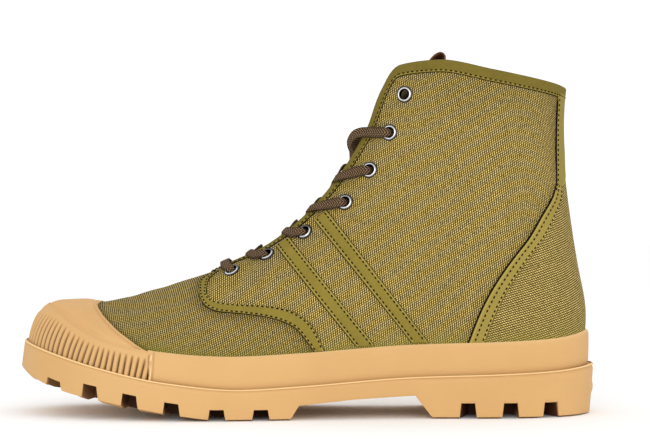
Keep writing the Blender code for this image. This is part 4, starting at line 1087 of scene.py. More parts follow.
def cut_eyelet_holes(item):
    """One Boolean with a round bar through every eyelet, applied to the mesh."""
    turn = np.linspace(0.0, 2 * math.pi, 32, endpoint=False)[None, :, None]
    bars = []
    for side in SIDES.values():
        spot, out, level, up = [rows[:, None] for rows in eyelet_stands(side)]
        ring = spot + (level * np.cos(turn) + up * np.sin(turn)) * HOLE_RADIUS
        bars += list(np.stack([ring - out * HOLE_REACH, ring + out * HOLE_REACH], 1))
    points, faces = join_lofts(bars)
    mesh = bpy.data.meshes.new("eyelet_bars")
    mesh.from_pydata((points * MM).tolist(), [], faces)
    face_outward(mesh)
    tool = bpy.data.objects.new("eyelet_bars", mesh)
    bpy.context.scene.collection.objects.link(tool)
    cut = item.modifiers.new("eyelet_holes", "BOOLEAN")
    cut.operation = "DIFFERENCE"
    cut.solver = "EXACT"
    cut.object = tool
    ready = item.evaluated_get(bpy.context.evaluated_depsgraph_get())
    holed = bpy.data.meshes.new_from_object(ready)
    item.modifiers.clear()
    old = item.data
    item.data = holed
    holed.name = item.name
    bpy.data.meshes.remove(old)
    bpy.data.objects.remove(tool)
    bpy.data.meshes.remove(mesh)


def fold_height(from_edge):
    """Share of a tape's height at a distance from its rounded edge."""
    return 0.15 + 0.85 * np.sqrt(smooth(-0.05, 0.8, from_edge))


def tape_height(from_edge, along, inset):
    """Height across a tape: round folded edges, a sunk stitch line pulled down at every stitch."""
    proud = sizes().tape_proud / MM
    pull = 0.6 + 0.4 * np.cos(2 * math.pi * along / (sizes().stitch_pitch / MM))
    return proud * fold_height(from_edge) - 0.30 * pull * np.exp(-((from_edge - inset) / 0.5) ** 2)


def rim_mark(from_edge):
    """Over 0 for the painted highlight along a tape's fold, under 0 for the painted shadow at its very edge.
    """
    return 0.75 * np.exp(-((from_edge - 1.0) / 0.34) ** 2) - np.exp(-(from_edge / 0.46) ** 2)


def tape_on(name, node, strips, inset, tone=0.0):
    """Tapes over the upper from grids of u, v spots: a raised section carried along each strip, with
    stitch rows at distances from its first edge or, under 0, from its last; ends give the share of its
    height left at its first and last row, and a mirrored strip, rounded along its first row, meets its
    mirror image along its last edge; tone over 0 is paler. Gives the lines of the stitch rows."""
    rings = []
    uv = []
    rim = []
    rows = []
    for side, u, v, stitched, ends, mirrored in strips:
        flat = LAST.face(side, u, v)
        out = LAST.normal(side, u, v)
        across = run_along(flat, 1)
        along = run_along(flat[:, flat.shape[1] // 2])
        spread = np.broadcast_to(along[:, None], across.shape)
        from_edge = np.minimum(across, spread if mirrored else across[:, -1:] - across)
        high = tape_height(from_edge, spread, inset)
        high = high * (1.0 - (1.0 - ends[0]) * smooth(16.0, 0.0, spread))
        high = high * (1.0 - (1.0 - ends[1]) * smooth(12.0, 0.0, along[-1] - spread))
        lift = canvas_relief(flat[..., (0, 2)])[0] * 0.6
        top = flat + out * (high + lift)[..., None]
        low = flat[:, [-1, 0]] - out[:, [-1, 0]] * TAPE_SUNK
        rings.append(np.concatenate([top, low], axis=1))
        wide = np.concatenate([across - across[:, -1:] / 2, across[:, [-1, 0]]], axis=1)
        uv.append(np.stack(np.broadcast_arrays(along[:, None], wide), -1).reshape(-1, 2))
        # rim: painted highlight along the folds, painted shadow at the edges and (-1) on the sunk rows, plus
        # the tone, and painted shade (-0.16) over a mirrored strip
        mark = rim_mark(from_edge) + tone - (0.16 if mirrored else 0.0)
        rim.append(np.concatenate([mark, -np.ones((len(mark), 2))], axis=1).ravel())
        for distance in stitched:
            target = np.full(len(across), distance) + (across[:, -1] if distance < 0 else 0.0)
            place = first_reach(across, np.arange(across.shape[1], dtype=float), target)
            k = np.clip(place.astype(int), 0, across.shape[1] - 2)
            t = (place - k)[:, None]
            i = np.arange(len(across))
            rows.append((top[i, k] * (1 - t) + top[i, k + 1] * t, out[i, k]))
    make_piece(name, *join_lofts(rings), [olive_tape()], "tape_olive", nodes=[node],
               uv=np.concatenate(uv), marks={"rim": np.concatenate(rim)}, crease=70.0)
    return rows


def strip_spots(side, edges, count):
    """u, v grid of a strip between two side-view lines."""
    a = smooth_line(edges[0], count)[:, None]
    b = smooth_line(edges[1], count)[:, None]
    t = ((TAPE_STEPS + 1) / 2)[None, :, None]
    return LAST.find(side, a * (1 - t) + b * t)


def sew(name, rows, width=0.74):
    """Stitches along lines of points: a small six-sided spindle at every pitch, its ends sunk."""
    pitch = sizes().stitch_pitch / MM
    length = sizes().stitch_length / MM
    sides = 6
    turn = np.linspace(0.0, 2 * math.pi, sides, endpoint=False)
    ends = np.array([-0.7, 0.0, 0.7])[:, None]
    girth = np.array([0.85, 1.0, 0.85])[:, None]
    rings = np.stack(np.broadcast_arrays(ends, girth * np.cos(turn), girth * np.sin(turn)), -1)
    bead = np.concatenate([rings.reshape(-1, 3), [(-1.0, 0.0, 0.0), (1.0, 0.0, 0.0)]])
    last_ring = 2 * sides
    tip = 3 * sides
    faces = quads(3, sides, False, True).tolist()
    faces += [[tip, (k + 1) % sides, k] for k in range(sides)]
    faces += [[tip + 1, last_ring + k, last_ring + (k + 1) % sides] for k in range(sides)]
    spots = []
    for line, out in rows:
        run = run_along(line)
        at = np.arange(0.5 * pitch, run[-1] - 0.3 * pitch, pitch)
        centre = np.stack([np.interp(at, run, line[:, k]) for k in range(3)], -1)
        ahead = unit(np.stack([np.interp(at, run, np.gradient(line[:, k], run)) for k in range(3)], -1))
        above = np.stack([np.interp(at, run, out[:, k]) for k in range(3)], -1)
        beside_it = unit(np.cross(above, ahead))
        above = np.cross(ahead, beside_it)
        sunk = 0.22 - 0.3 * bead[:, 0] ** 2
        spots.append(centre[:, None] + ahead[:, None] * bead[None, :, :1] * length / 2
                     + beside_it[:, None] * bead[None, :, 1:2] * width / 2
                     + above[:, None] * (bead[None, :, 2:] * width * 0.42 + sunk[None, :, None]))
    spots = np.concatenate(spots)
    joined = [[len(bead) * n + k for k in face] for n in range(len(spots)) for face in faces]
    make_piece(name, spots.reshape(-1, 3), joined, [dark_thread()], "lace_brown", crease=80.0)


def make_quarter_tapes():
    """Curved tape over each quarter's front edge, with a stitch row along both its edges."""
    inset = sizes().stitch_inset / MM
    rows = []
    for label, side in SIDES.items():
        strip = (side, *strip_spots(side, QUARTER_TAPE, 150), (inset, -inset), (1.0, 1.0), False)
        rows += tape_on("quarter_edge_tape_" + label, "quarter_tape_" + label, [strip], inset)
    sew("quarter_stitches", rows)


def make_straps():
    """Two slanting straps on each quarter, with a stitch row along both edges."""
    inset = sizes().strap_inset / MM
    rows = []
    for label, side in SIDES.items():
        for which, edges in (("front", FRONT_STRAP), ("rear", REAR_STRAP)):
            strip = (side, *strip_spots(side, edges, 90), (inset, -inset), (1.0, 1.0), False)
            rows += tape_on("%s_strap_tape_%s" % (which, label), "%s_strap_%s" % (which, label),
                            [strip], inset)
    sew("strap_stitches", rows)


def make_backstay():
    """Heel tape: a strip down the back, its lower edge a peak, that parts into a leg along each counter
    seam, and a dark cord in the seam."""
    seam = np.asarray(COUNTER_SEAM, float)[::-1]
    inset = sizes().stitch_inset / MM
    strips = []
    cords = []
    t = (TAPE_STEPS + 1) / 2
    turn = np.linspace(0.0, 2 * math.pi, 8, endpoint=False)[:, None]
    for side in SIDES.values():
        z = np.linspace(COUNTER_TAPE[0][0], seam[-1, 0], 130)
        x = table(seam, np.maximum(z, seam[0, 0])) - 0.4 * np.maximum(seam[0, 0] - z, 0.0)
        u, v = LAST.find(side, np.stack([x, z], -1))
        line = LAST.at(side, u, v, CORD_UP)
        out = LAST.normal(side, u, v)
        aside = unit(np.cross(out, unit(np.gradient(line, axis=0))))
        ring = aside[:, None] * np.cos(turn) + out[:, None] * np.sin(turn)
        cords.append(line[:, None] + CORD_RADIUS * ring)
        leg = z <= COUNTER_SPLIT + 2.0
        wide = table(COUNTER_TAPE, z[leg])
        spots = np.stack(np.broadcast_arrays(x[leg][:, None] + wide[:, None] * t, z[leg][:, None]), -1)
        strips.append((side, *LAST.find(side, spots), LEG_ROWS, (1.0, 0.1), False))
        low = COUNTER_SPLIT - 3.0 + HEEL_PEAK * smooth(0.0, 1.0, t)
        climb = np.linspace(0.0, 1.0, 60)[:, None] ** 1.5
        z = low + (seam[-1, 0] + 4.0 - low) * climb
        u, v = LAST.find(side, np.stack([table(seam, np.minimum(z, seam[-1, 0])), z], -1))
        strips.append((side, u + (1.0 - u) * t, v, (inset,), (0.4, 1.0), True))
    rows = tape_on("heel_tape", "backstay", strips, inset, 0.4)
    sew("counter_stitches", rows)
    make_piece("counter_seam_cord", *join_lofts(cords), [dark_thread()], "lace_brown")


def make_binding():
    """Folded tape over the throat and collar edge: a section carried along the edge, thinner where it
    goes under the quarter tape at the foot of the throat."""
    down = np.array([1.0, 0.985, 0.955, 0.91, 0.86, 0.81, 0.76, 0.70, 0.6, 0.36, 0.12])
    inward = np.array([0.15, 0.4, 0.7, 0.9, 0.97, 1.0])
    turn = np.linspace(0.12, math.pi - 0.12, 9)
    u = np.linspace(THROAT_U + 0.004, 1.0, 200)
    halves = []
    for side in SIDES.values():
        along = run_along(LAST.face(side, u, 1.0))
        grown = 0.25 + 0.75 * smooth(0.0, 9.0, along)
        deep = table(BINDING_DEEP, u) * grown
        inset = np.minimum(np.interp(u, *np.transpose(BINDING_INSET)), 0.5 * deep)
        distance = deep[:, None] * down
        v = LAST.v_below_top(side, np.broadcast_to(u[:, None], distance.shape), distance)
        from_edge = deep[:, None] * (1.0 - down)
        high = tape_height(from_edge, along[:, None], inset[:, None]) * grown[:, None]
        outer = LAST.at(side, u[:, None], v, high)
        out = LAST.normal(side, u, 1.0)
        rise = unit(LAST.face(side, u, 1.0) - LAST.face(side, u, 0.99))
        proud = sizes().tape_proud / MM * grown
        middle = LAST.at(side, u, 1.0, -WALL / 2)
        reach = (WALL / 2 + proud)[:, None, None]
        fold = (middle[:, None] + out[:, None] * np.cos(turn)[:, None] * reach
                + rise[:, None] * np.sin(turn)[:, None] * 1.15 * grown[:, None, None])
        depth = BINDING_INSIDE * inward * grown[:, None]
        v_in = LAST.v_below_top(side, np.broadcast_to(u[:, None], depth.shape), depth)
        tuck = -WALL - proud[:, None] * fold_height(BINDING_INSIDE * (1 - inward))
        inner = LAST.at(side, u[:, None], v_in, tuck)
        close = np.stack([LAST.at(side, u, v_in[:, -1], -WALL + 0.3),
                          LAST.at(side, u, v[:, 0], -TAPE_SUNK)], 1)
        ring = np.concatenate([outer, fold, inner, close], axis=1)
        wide = run_along(ring[len(u) // 2])
        uv = np.stack(np.broadcast_arrays(along[:, None] * side, wide[None]), -1)
        # painted shade over the fold and the inner face; the outer face 0.3 darker in tone, painted shadow on
        # the sunk rows
        painted_fold_shade = np.concatenate([-0.3 - 0.2 * smooth(0.2, 1.6, turn), np.full(len(inward), -0.4)])
        rim = np.concatenate([rim_mark(from_edge) - 0.3, np.broadcast_to(painted_fold_shade, (len(u), len(painted_fold_shade))),
                              -np.ones((len(u), 2))], axis=1)
        v_row = LAST.v_below_top(side, u, deep - inset)
        low = tape_height(inset, along, inset) * grown
        halves.append((ring, uv, rim, LAST.at(side, u, v_row, low), LAST.normal(side, u, v_row)))
    ring, uv, rim, line, out = [both_sides(a, b) for a, b in zip(*halves)]
    make_piece("edge_binding", *join_lofts([ring]), [olive_tape()], "tape_olive", nodes=["binding"],
               uv=uv.reshape(-1, 2), marks={"rim": rim.ravel()}, crease=70.0)
    sew("binding_stitches", [(line, out)], 0.66)


def ring_foot(side, u, offset):
    """Points of a rubber strip's lower edge, standing on the outsole's ledge."""
    spot = LAST.at(side, u, np.zeros_like(u), offset)
    spot[..., 2] = ledge(spot[..., 0]) - 0.1
    return spot


def mould(name, node, ring, deep, pale, crease):
    """Rubber piece of section rings, with a mark of its painted shade and one of its pale edges, partly
    painted highlight.
    """
    make_piece(name, *join_lofts([ring]), [tan_rubber()], "rubber_tan", nodes=[node],
               marks={"deep": deep.ravel(), "pale": pale.ravel()}, crease=crease)


def make_foxing():
    """Smooth rubber band: straight wall and rounded lip, paler with a painted highlight, carried round the
    shoe from under the bumper, with a painted shadow line where the bumper's ridge ends."""
    u = np.concatenate([np.linspace(SEAM_U - SEAM_LEAN, SEAM_U + SEAM_LEAN, 24)[:-1],
                        np.linspace(SEAM_U + SEAM_LEAN, 0.86, 110)[:-1], np.linspace(0.86, 1.0, 60)])
    height = table(FOXING_HEIGHT, u)
    usual = height.mean()
    wall = np.linspace(0.0, 1.0, 9)[1:]
    levels = np.concatenate([[0.6], 0.6 + (usual - FOXING_LIP - 0.6) * wall])
    levels = levels[None] + (height - usual)[:, None] * (levels / usual)[None]
    bend = np.linspace(0.0, math.pi / 2, 9)[1:]
    lip = height[:, None] - FOXING_LIP * (1.0 - np.sin(bend))
    tall = np.concatenate([levels, lip], axis=1)
    proud = np.concatenate([np.full(levels.shape[1], FOXING_OUT),
                            FOXING_OUT - 2.1 * (1.0 - np.cos(bend))])
    proud[0] -= 0.25
    wide = np.broadcast_to(u[:, None], tall.shape)
    seam = SEAM_U + SEAM_LEAN * (tall / height[:, None] - 0.5)
    # painted shadow line beside the end of the bumper's ridge
    line = 0.3 * np.exp(-((wide - seam - 0.0009) / 0.0008) ** 2)
    mark = np.concatenate([line[:, :1], line, np.zeros((len(u), 2))], axis=1)
    halves = []
    for side in SIDES.values():
        v = LAST.v_at_height(side, wide, tall)
        face = LAST.at(side, wide, v, proud)
        top_in = LAST.at(side, u, v[:, -1], -RUBBER_SUNK)
        foot_out = ring_foot(side, u, FOXING_OUT - 0.4)
        foot_in = ring_foot(side, u, -RUBBER_SUNK)
        halves.append(np.concatenate([foot_out[:, None], face, top_in[:, None], foot_in[:, None]], axis=1))
    deep = both_sides(mark, mark)
    pale = np.zeros(deep.shape)
    # pale lip: paler rubber with a painted highlight
    pale[:, -len(bend) - 2:-2] = 0.75 * np.sin(bend) ** 4
    mould("rubber_foxing", "foxing", both_sides(*halves), deep, pale, 50.0)


def make_toe_cap():
    """Smooth rubber over the toe: thickest by the bead, past a soft crease, and thin along the canvas,
    where a low rim follows the border; its height goes by the distances from border and bead, and the
    crease and rim fade out toward the ridge, where the rubber faces up or forward."""
    ridge = 60
    edge = cap_edge()
    u_low = np.concatenate([np.linspace(0.0, CAP_TURN, ridge)[:-1], np.linspace(CAP_TURN, SEAM_U, len(edge))])
    u_top = np.concatenate([np.linspace(0.0, edge[0, 0], ridge)[:-1], edge[:, 0]])
    v_low = table(BEAD_TOP, u_low) - 0.02
    v_top = np.concatenate([np.ones(ridge - 1), edge[:, 1]])
    levels = 1.0 - np.linspace(1.0, 0.0, 50) ** 1.5
    u = u_low[:, None] + (u_top - u_low)[:, None] * levels
    v = v_low[:, None] + (v_top - v_low)[:, None] * levels
    outer = []
    inner = []
    marks = []
    for side in SIDES.values():
        flat = LAST.face(side, u, v)
        away = nearest(flat, LAST.face(side, edge[:, 0], edge[:, 1]))
        bead = nearest(flat, LAST.face(side, u_low, table(BEAD_TOP, u_low)))
        out = LAST.normal(side, u, v)
        aside = smooth(0.05, 0.55, np.abs(out[..., 1]))
        swell = CAP_SWELL * np.exp(-(np.maximum(bead - 2.0 * aside, 0.0) / (4.5 + 2.5 * aside)) ** 2)
        dip = 0.9 * aside * np.exp(-(bead / 1.5) ** 2)
        body = (CAP_OUT - CAP_EDGE + swell - dip) * smooth(0.0, CAP_TAPER, away)
        rim = 0.4 * np.exp(-((away - 0.8) / 0.45) ** 2) - 0.22 * np.exp(-((away - 1.9) / 0.5) ** 2)
        proud = CAP_EDGE * (0.4 + 0.6 * aside) * np.sqrt(smooth(-0.1, 0.5, away)) + body + rim * aside
        outer.append(flat + out * proud[..., None])
        inner.append(flat - out * RUBBER_SUNK)
        # painted shade: a thin dark line in the trough inside the rim
        marks.append(0.16 * np.exp(-((away - 1.7) / 0.45) ** 2))
    columns, rows = v.shape
    number = np.arange(2 * columns * rows).reshape(2, columns, rows)
    number[1, :ridge, -1] = number[0, :ridge, -1]
    number[1, 0] = number[0, 0]
    faces = [np.stack([n[:-1, :-1], n[1:, :-1], n[1:, 1:], n[:-1, 1:]], -1).reshape(-1, 4) for n in number]
    points, joined, used = shell(np.concatenate(outer).reshape(-1, 3), np.concatenate(inner).reshape(-1, 3),
                                 np.concatenate(faces))
    deep = np.concatenate(marks).ravel()[used]
    make_piece("rubber_toe_cap", points, joined, [tan_rubber()], "rubber_tan", nodes=["toe_cap"],
               marks={"deep": np.concatenate([deep, 0.0 * deep])}, crease=50.0)


def make_toe_bumper():
    """Ribbed strip round the toe: a crest level less the grooves |2 phase - 1|^2.6, deepest at the foot,
    that fade into a smooth bead, whose lip falls off less along the ridge; the strip ends in a thin
    pale ridge over the foxing, with a painted highlight. Painted shade darkens the grooves and a line
    beside the ridge."""
    per_rib = 14
    halves = []
    t_rib = np.array([0.0, 0.1, 0.22, 0.36, 0.5, 0.62, 0.72, 0.8, 0.87, 0.94])
    t_bead = np.linspace(0.0, 1.0, 12)
    t = np.concatenate([t_rib, 1.0 + t_bead])[None]
    along = SEAM_U * np.linspace(1.0, 0.0, RIBS_PER_SIDE * per_rib + 1)[:, None]
    to_seam = SEAM_U - along
    u = along + SEAM_LEAN * (t / 2 - 0.5) * smooth(0.03, 0.0, to_seam)
    v_rib = table(RIB_TOP, along)
    v_top = table(BEAD_TOP, along)
    v = np.concatenate([v_rib * t_rib, v_rib + (v_top - v_rib) * t_bead], axis=1)
    lean = table(RIB_LEAN, along) * np.minimum(t, 1.3)
    phase = np.interp((to_seam - lean) / SEAM_U, *np.transpose(RIB_PHASE))
    valley = np.abs(2.0 * (phase % 1.0) - 1.0)
    fade = smooth(0.3, RIB_FADE, phase) * (1.0 - smooth(0.84, 1.1, t))
    blend = np.clip(to_seam / 0.02, 0.0, 1.0)
    thin = FOXING_OUT + 0.2
    crest = thin + (RIB_OUT - FOXING_OUT - 0.2) * blend
    bead = thin + (BEAD_OUT - FOXING_OUT - 0.2) * blend
    ridge = 0.45 * np.exp(-((to_seam - 0.0009) / 0.0007) ** 2) * (1.0 - smooth(1.3, 1.8, t))
    depth = sizes().rib_height / MM * (1.0 - 0.25 * np.minimum(t, 1.0)) * fade
    # painted shade in the grooves between the ribs, weaker toward the bead, and a painted shadow line beside
    # the end ridge
    deep = fade * smooth(0.5, 0.92, valley) * (0.85 - 0.4 * smooth(0.45, 0.95, t))
    deep = deep + 0.6 * np.exp(-((to_seam - 0.003) / 0.0007) ** 2) * (1.0 - smooth(1.3, 1.8, t))
    deep, pale = [np.concatenate([mark, np.zeros((len(u), 2))], axis=1) for mark in (deep, 2.0 * ridge)]
    for side in SIDES.values():
        aside = smooth(0.05, 0.55, np.abs(LAST.normal(side, u, v)[..., 1]))
        lip = (bead - 2.3) * (0.3 + 0.7 * aside) * smooth(1.45, 2.0, t)
        level = crest - (crest - bead) * smooth(0.8, 1.25, t) - lip
        proud = level + ridge - depth * valley ** 2.6
        face = LAST.at(side, u, v, proud)
        face[:, 0] = ring_foot(side, u[:, 0], proud[:, 0])
        top_in = LAST.at(side, u[:, -1], v[:, -1], -RUBBER_SUNK)
        foot_in = ring_foot(side, u[:, 0], -RUBBER_SUNK)
        halves.append(np.concatenate([face, top_in[:, None], foot_in[:, None]], axis=1))
    mould("ribbed_toe_bumper", "toe_bumper", both_sides(*halves), both_sides(deep, deep),
          both_sides(pale, pale), 60.0)


def groove_cut(x, inward):
    """Height that the tread's grooves cut into the sole at x, a distance inward from its edge."""
    lift = np.zeros(np.broadcast(x, inward).shape)
    for middle, height, fan in GROOVES:
        aside = np.abs(x - middle - math.tan(math.radians(fan)) * np.minimum(inward, GROOVE_LENGTH))
        slope = (GROOVE_BOTTOM - GROOVE_TOP) / 2
        wall = np.clip((GROOVE_BOTTOM / 2 - aside) / slope, 0.0, 1.0)
        end = np.clip((GROOVE_LENGTH - inward) / 0.7, 0.0, 1.0)
        lift = np.maximum(lift, height * wall * end)
    return lift


def sole_columns():
    """x of the outsole's columns: closer by the toe and heel, and on the groove walls and arch corners."""
    ends = (1.0 - np.cos(np.linspace(0.0, math.pi, 230))) / 2
    line = EDGE.lines[LATERAL][:, 0]
    x = [line.min() + (line.max() - line.min()) * ends]
    foot, top = GROOVE_BOTTOM / 2, GROOVE_TOP / 2
    reach = np.array([foot + 0.25, foot, foot - 0.45, top, top - 0.3])
    for middle, _, _ in GROOVES:
        x.append(middle + np.concatenate([-reach, reach]))
    x.append(np.transpose(ARCH)[0])
    x = np.unique(np.concatenate(x))
    return x[np.concatenate([[True], np.diff(x) > 0.012])]


def tread_face(x, edge_x, d, room):
    """Height of the tread at distances d in from its edge, the shift of its columns along the fanned
    grooves, and the painted shade in them. The height is the greater of the arch and of the spring curve with
    a low edge rise and the grooves; under the toe spring a crown makes the middle lower than the edge."""
    fan = np.zeros_like(x)
    for middle, _, angle in GROOVES:
        fan = fan + math.tan(math.radians(angle)) * smooth(14.0, 7.0, np.abs(x - middle))
    shift = fan[:, None] * np.minimum(d, GROOVE_LENGTH)
    base = tread(edge_x)
    rise = EDGE_RISE * np.clip(1.0 - d / EDGE_IN, 0.0, 1.0) + 0.3 * np.clip(1.0 - d / 0.9, 0.0, 1.0) ** 2
    cut = groove_cut(edge_x + shift, d)
    hidden = groove_cut(edge_x + shift, np.maximum(d - 1.5, 0.0))
    crown = np.minimum(0.35 * base, 2.0) * smooth(1.0, 12.0, d)
    arch = np.interp(x, *np.transpose(ARCH), left=0.0, right=0.0)[:, None]
    under = np.maximum(base - crown + np.maximum(rise, cut * smooth(0.0, 3.0, room - d + 3.0)), arch)
    # painted shade deep in the grooves, a little lighter in the toe's grooves
    groove_shade = np.clip(hidden / 3.0, 0.0, 1.0) * smooth(0.2, 1.6, d)
    return under, shift, groove_shade * (0.72 + 0.27 * smooth(-120.0, -85.0, edge_x))


def heel_panel(spot, z):
    """How far the plain panel on the back of the heel stands out of the wall."""
    half, start, low, high, out = HEEL_PANEL
    across = smooth(half + 0.5, half - 0.5, np.abs(spot[:, 1:]))
    across = across * smooth(start - 1.0, start + 1.0, spot[:, :1])
    return out * (across * smooth(low - 0.5, low + 0.5, z) * smooth(high + 0.5, high - 0.5, z))


def sole_half(x, share, spot, out, width, middle_y):
    """One side of the outsole, a row of points for each column: the ledge, a rounded pale lip, the wall
    and the tread as far as the middle; with the marks of its painted shade and of its pale lip, partly
    painted highlight."""
    inward = np.array([0.0, 0.3, 0.9, 2.0, 4.0, 7.0, 12.0, 18.0, 22.3, GROOVE_LENGTH])
    rest = np.array([0.25, 0.5, 0.75, 1.0])
    bend = np.linspace(0.0, math.pi / 2, 6)
    edge_x = spot[:, :1]
    top_in = table(WALL_TOP_IN, share)[:, None]
    foot_in = table(WALL_FOOT_IN, share)[:, None]
    high = ledge(edge_x)
    room = np.maximum(width - foot_in, 0.0)
    step = np.minimum(1.0, room / 25.0) * inward
    d = np.concatenate([step, step[:, -1:] + (room - step[:, -1:]) * rest], axis=1)
    under, shift, groove_shade = tread_face(x, edge_x, d, room)
    inner_y = spot[:, 1:] - out[:, 1:] * foot_in
    bottom_y = inner_y + (middle_y - inner_y) * d / np.maximum(room, 1e-6)
    bottom = np.stack([edge_x - out[:, :1] * foot_in + shift, bottom_y, under], -1)
    start = high - SHOULDER_DROP
    z = start + (under[:, :1] - start) * np.linspace(0.0, 1.0, 12)[1:-1]
    drop = np.clip((start - z) / np.maximum(start - tread(edge_x) - EDGE_RISE, 0.1), 0.0, 1.0)
    inset = top_in + (foot_in - top_in) * drop - heel_panel(spot, z)
    wall = np.concatenate([spot[:, None] - out[:, None] * inset[..., None], z[..., None]], axis=-1)
    lip_in = top_in + SHOULDER_IN * (1.0 - np.sin(bend[::-1]))
    lip_z = high - SHOULDER_DROP * (1.0 - np.cos(bend[::-1]))
    lip = np.concatenate([spot[:, None] - out[:, None] * lip_in[..., None], lip_z[..., None]], axis=-1)
    deck_in = np.array([1.0, 0.5]) * np.maximum(room - 6.0, 0.0)
    deck_y = inner_y + (middle_y - inner_y) * np.minimum(deck_in + 5.0, room) / np.maximum(room, 1e-6)
    deck = np.stack(np.broadcast_arrays(edge_x - out[:, :1] * 4.0, deck_y, high), -1)
    rows = np.concatenate([deck, lip, wall, bottom], axis=1)
    deep, pale = np.zeros((2, *rows.shape[:2]))
    deep[:, -groove_shade.shape[1]:] = groove_shade
    # pale lip: paler rubber with a painted highlight along the ledge's edge
    pale[:, deck.shape[1]:deck.shape[1] + lip.shape[1]] = 0.8 * np.sin(2.0 * bend) ** 2
    return rows, deep, pale


def make_outsole():
    """Lugged outsole: columns by x, each a ring from the ledge down one side, under the tread and up the
    other side."""
    x = sole_columns()
    edges = []
    for side in SIDES.values():
        share = EDGE.share_at(side, x)
        share[0] = 0.0
        share[-1] = 1.0
        edges.append((share, *EDGE.at(side, share, 0.0 * share)))
    lateral_y, medial_y = [spot[:, 1:] for _, spot, _ in edges]
    width = (medial_y - lateral_y) / 2
    middle_y = (medial_y + lateral_y) / 2
    halves = [sole_half(x, *edge, width, middle_y) for edge in edges]
    ring, deep, pale = [np.concatenate([a, b[:, ::-1][:, 1:]], axis=1) for a, b in zip(*halves)]
    mould("lugged_outsole", "outsole", ring, deep, pale, 38.0)


def make_insole():
    """Dished insole: the inset outline, its top raised at the edge by 1.6 r^4 and rounded over."""
    share = np.linspace(0.0, 1.0, 121)
    fine = np.linspace(0.0, 1.0, 181)
    u = np.interp(share, section(fine)["share"], fine)
    inset = section(u)["inset"] + WALL + INSOLE_IN
    left = EDGE.at(LATERAL, share, inset)[0]
    right = EDGE.at(MEDIAL, share, inset)[0]
    r = np.linspace(-1.0, 1.0, 41)
    flat = left[:, None] * ((1 - r) / 2)[None, :, None] + right[:, None] * ((1 + r) / 2)[None, :, None]
    low = ledge(flat[..., 0]) + GAP
    dish = 1.6 * r ** 4 - 0.9 * np.clip((np.abs(r) - 0.94) / 0.06, 0.0, 1.0) ** 2
    high = low + INSOLE_THICK + dish[None] - 0.8
    outer = np.concatenate([flat, high[..., None]], axis=-1).reshape(-1, 3)
    inner = np.concatenate([flat, low[..., None]], axis=-1).reshape(-1, 3)
    points, joined, _ = shell(outer, inner, quads(len(share) - 2, len(r)) + len(r))
    make_piece("dished_insole", points, joined, [insole_cloth()], "insole_cloth", nodes=["insole"],
               uv=points[:, :2])


def tongue_points(u, across, deeper):
    """Grid over the tongue: two side bands on offset meridians joined by a parabola over the gap."""
    rows = np.asarray(TONGUE, float)
    offset, lean, lift, outermost, crown = pchip(rows[:, 0], rows[:, 1:], u).T
    shift = np.stack([lean, 0.0 * u, lift], -1)
    v = outermost[:, None] + (TONGUE_INMOST - outermost)[:, None] * across[None]
    bands = {}
    tops = {}
    for side in SIDES.values():
        bands[side] = LAST.at(side, u[:, None], v, (offset - deeper)[:, None]) + shift[:, None]
        tops[side] = LAST.at(side, u, np.ones_like(u), offset - deeper) + shift
    centre = (tops[LATERAL] + tops[MEDIAL]) / 2 + np.stack([-0.5 * crown, 0.0 * u, crown], -1)
    a = bands[LATERAL][:, -1]
    b = bands[MEDIAL][:, -1]
    t = np.linspace(0.0, 1.0, 16)[1:-1, None]
    bulge = centre - (a + b) / 2
    gap = a[:, None] * (1 - t) + b[:, None] * t + 4 * t * (1 - t) * bulge[:, None]
    return np.concatenate([bands[LATERAL], gap, bands[MEDIAL][:, ::-1]], axis=1)


def make_tongue():
    """Tongue on its rows of offsets, with painted shade where the facings hide it, and a rounded rim."""
    u = np.linspace(TONGUE[0][0], TONGUE[-1][0], 110)
    across = np.linspace(0.0, 1.0, 14)
    outer = tongue_points(u, across, 0.0)
    inner = tongue_points(u, across, TONGUE_THICK)
    grid = outer.shape[:2]
    along = run_along(outer[:, grid[1] // 2])[:, None]
    run = np.stack(np.broadcast_arrays(run_along(outer, 1), along), -1).reshape(-1, 2)
    points, joined, used = shell(outer.reshape(-1, 3), inner.reshape(-1, 3), quads(*grid))
    count = len(used)
    from_middle = np.abs(np.linspace(-1.0, 1.0, grid[1]))
    # painted shade on the tongue's side bands, which lie under the facings
    shade = np.broadcast_to(0.92 * smooth(0.1, 0.4, from_middle), grid).ravel()
    item = make_piece("canvas_tongue", points, joined, [olive_canvas(), lining_cloth()], "canvas_olive",
                      nodes=["tongue"], uv=np.concatenate([run, run]), kinds=(joined >= count).all(1),
                      marks={"stain": np.zeros(2 * count),
                             "shade": np.concatenate([shade, np.zeros(count)])})
    round_rim = item.modifiers.new("round_rim", "BEVEL")
    round_rim.width = 0.5 * MM
    round_rim.segments = 3
    round_rim.limit_method = "ANGLE"
    round_rim.angle_limit = math.radians(60.0)


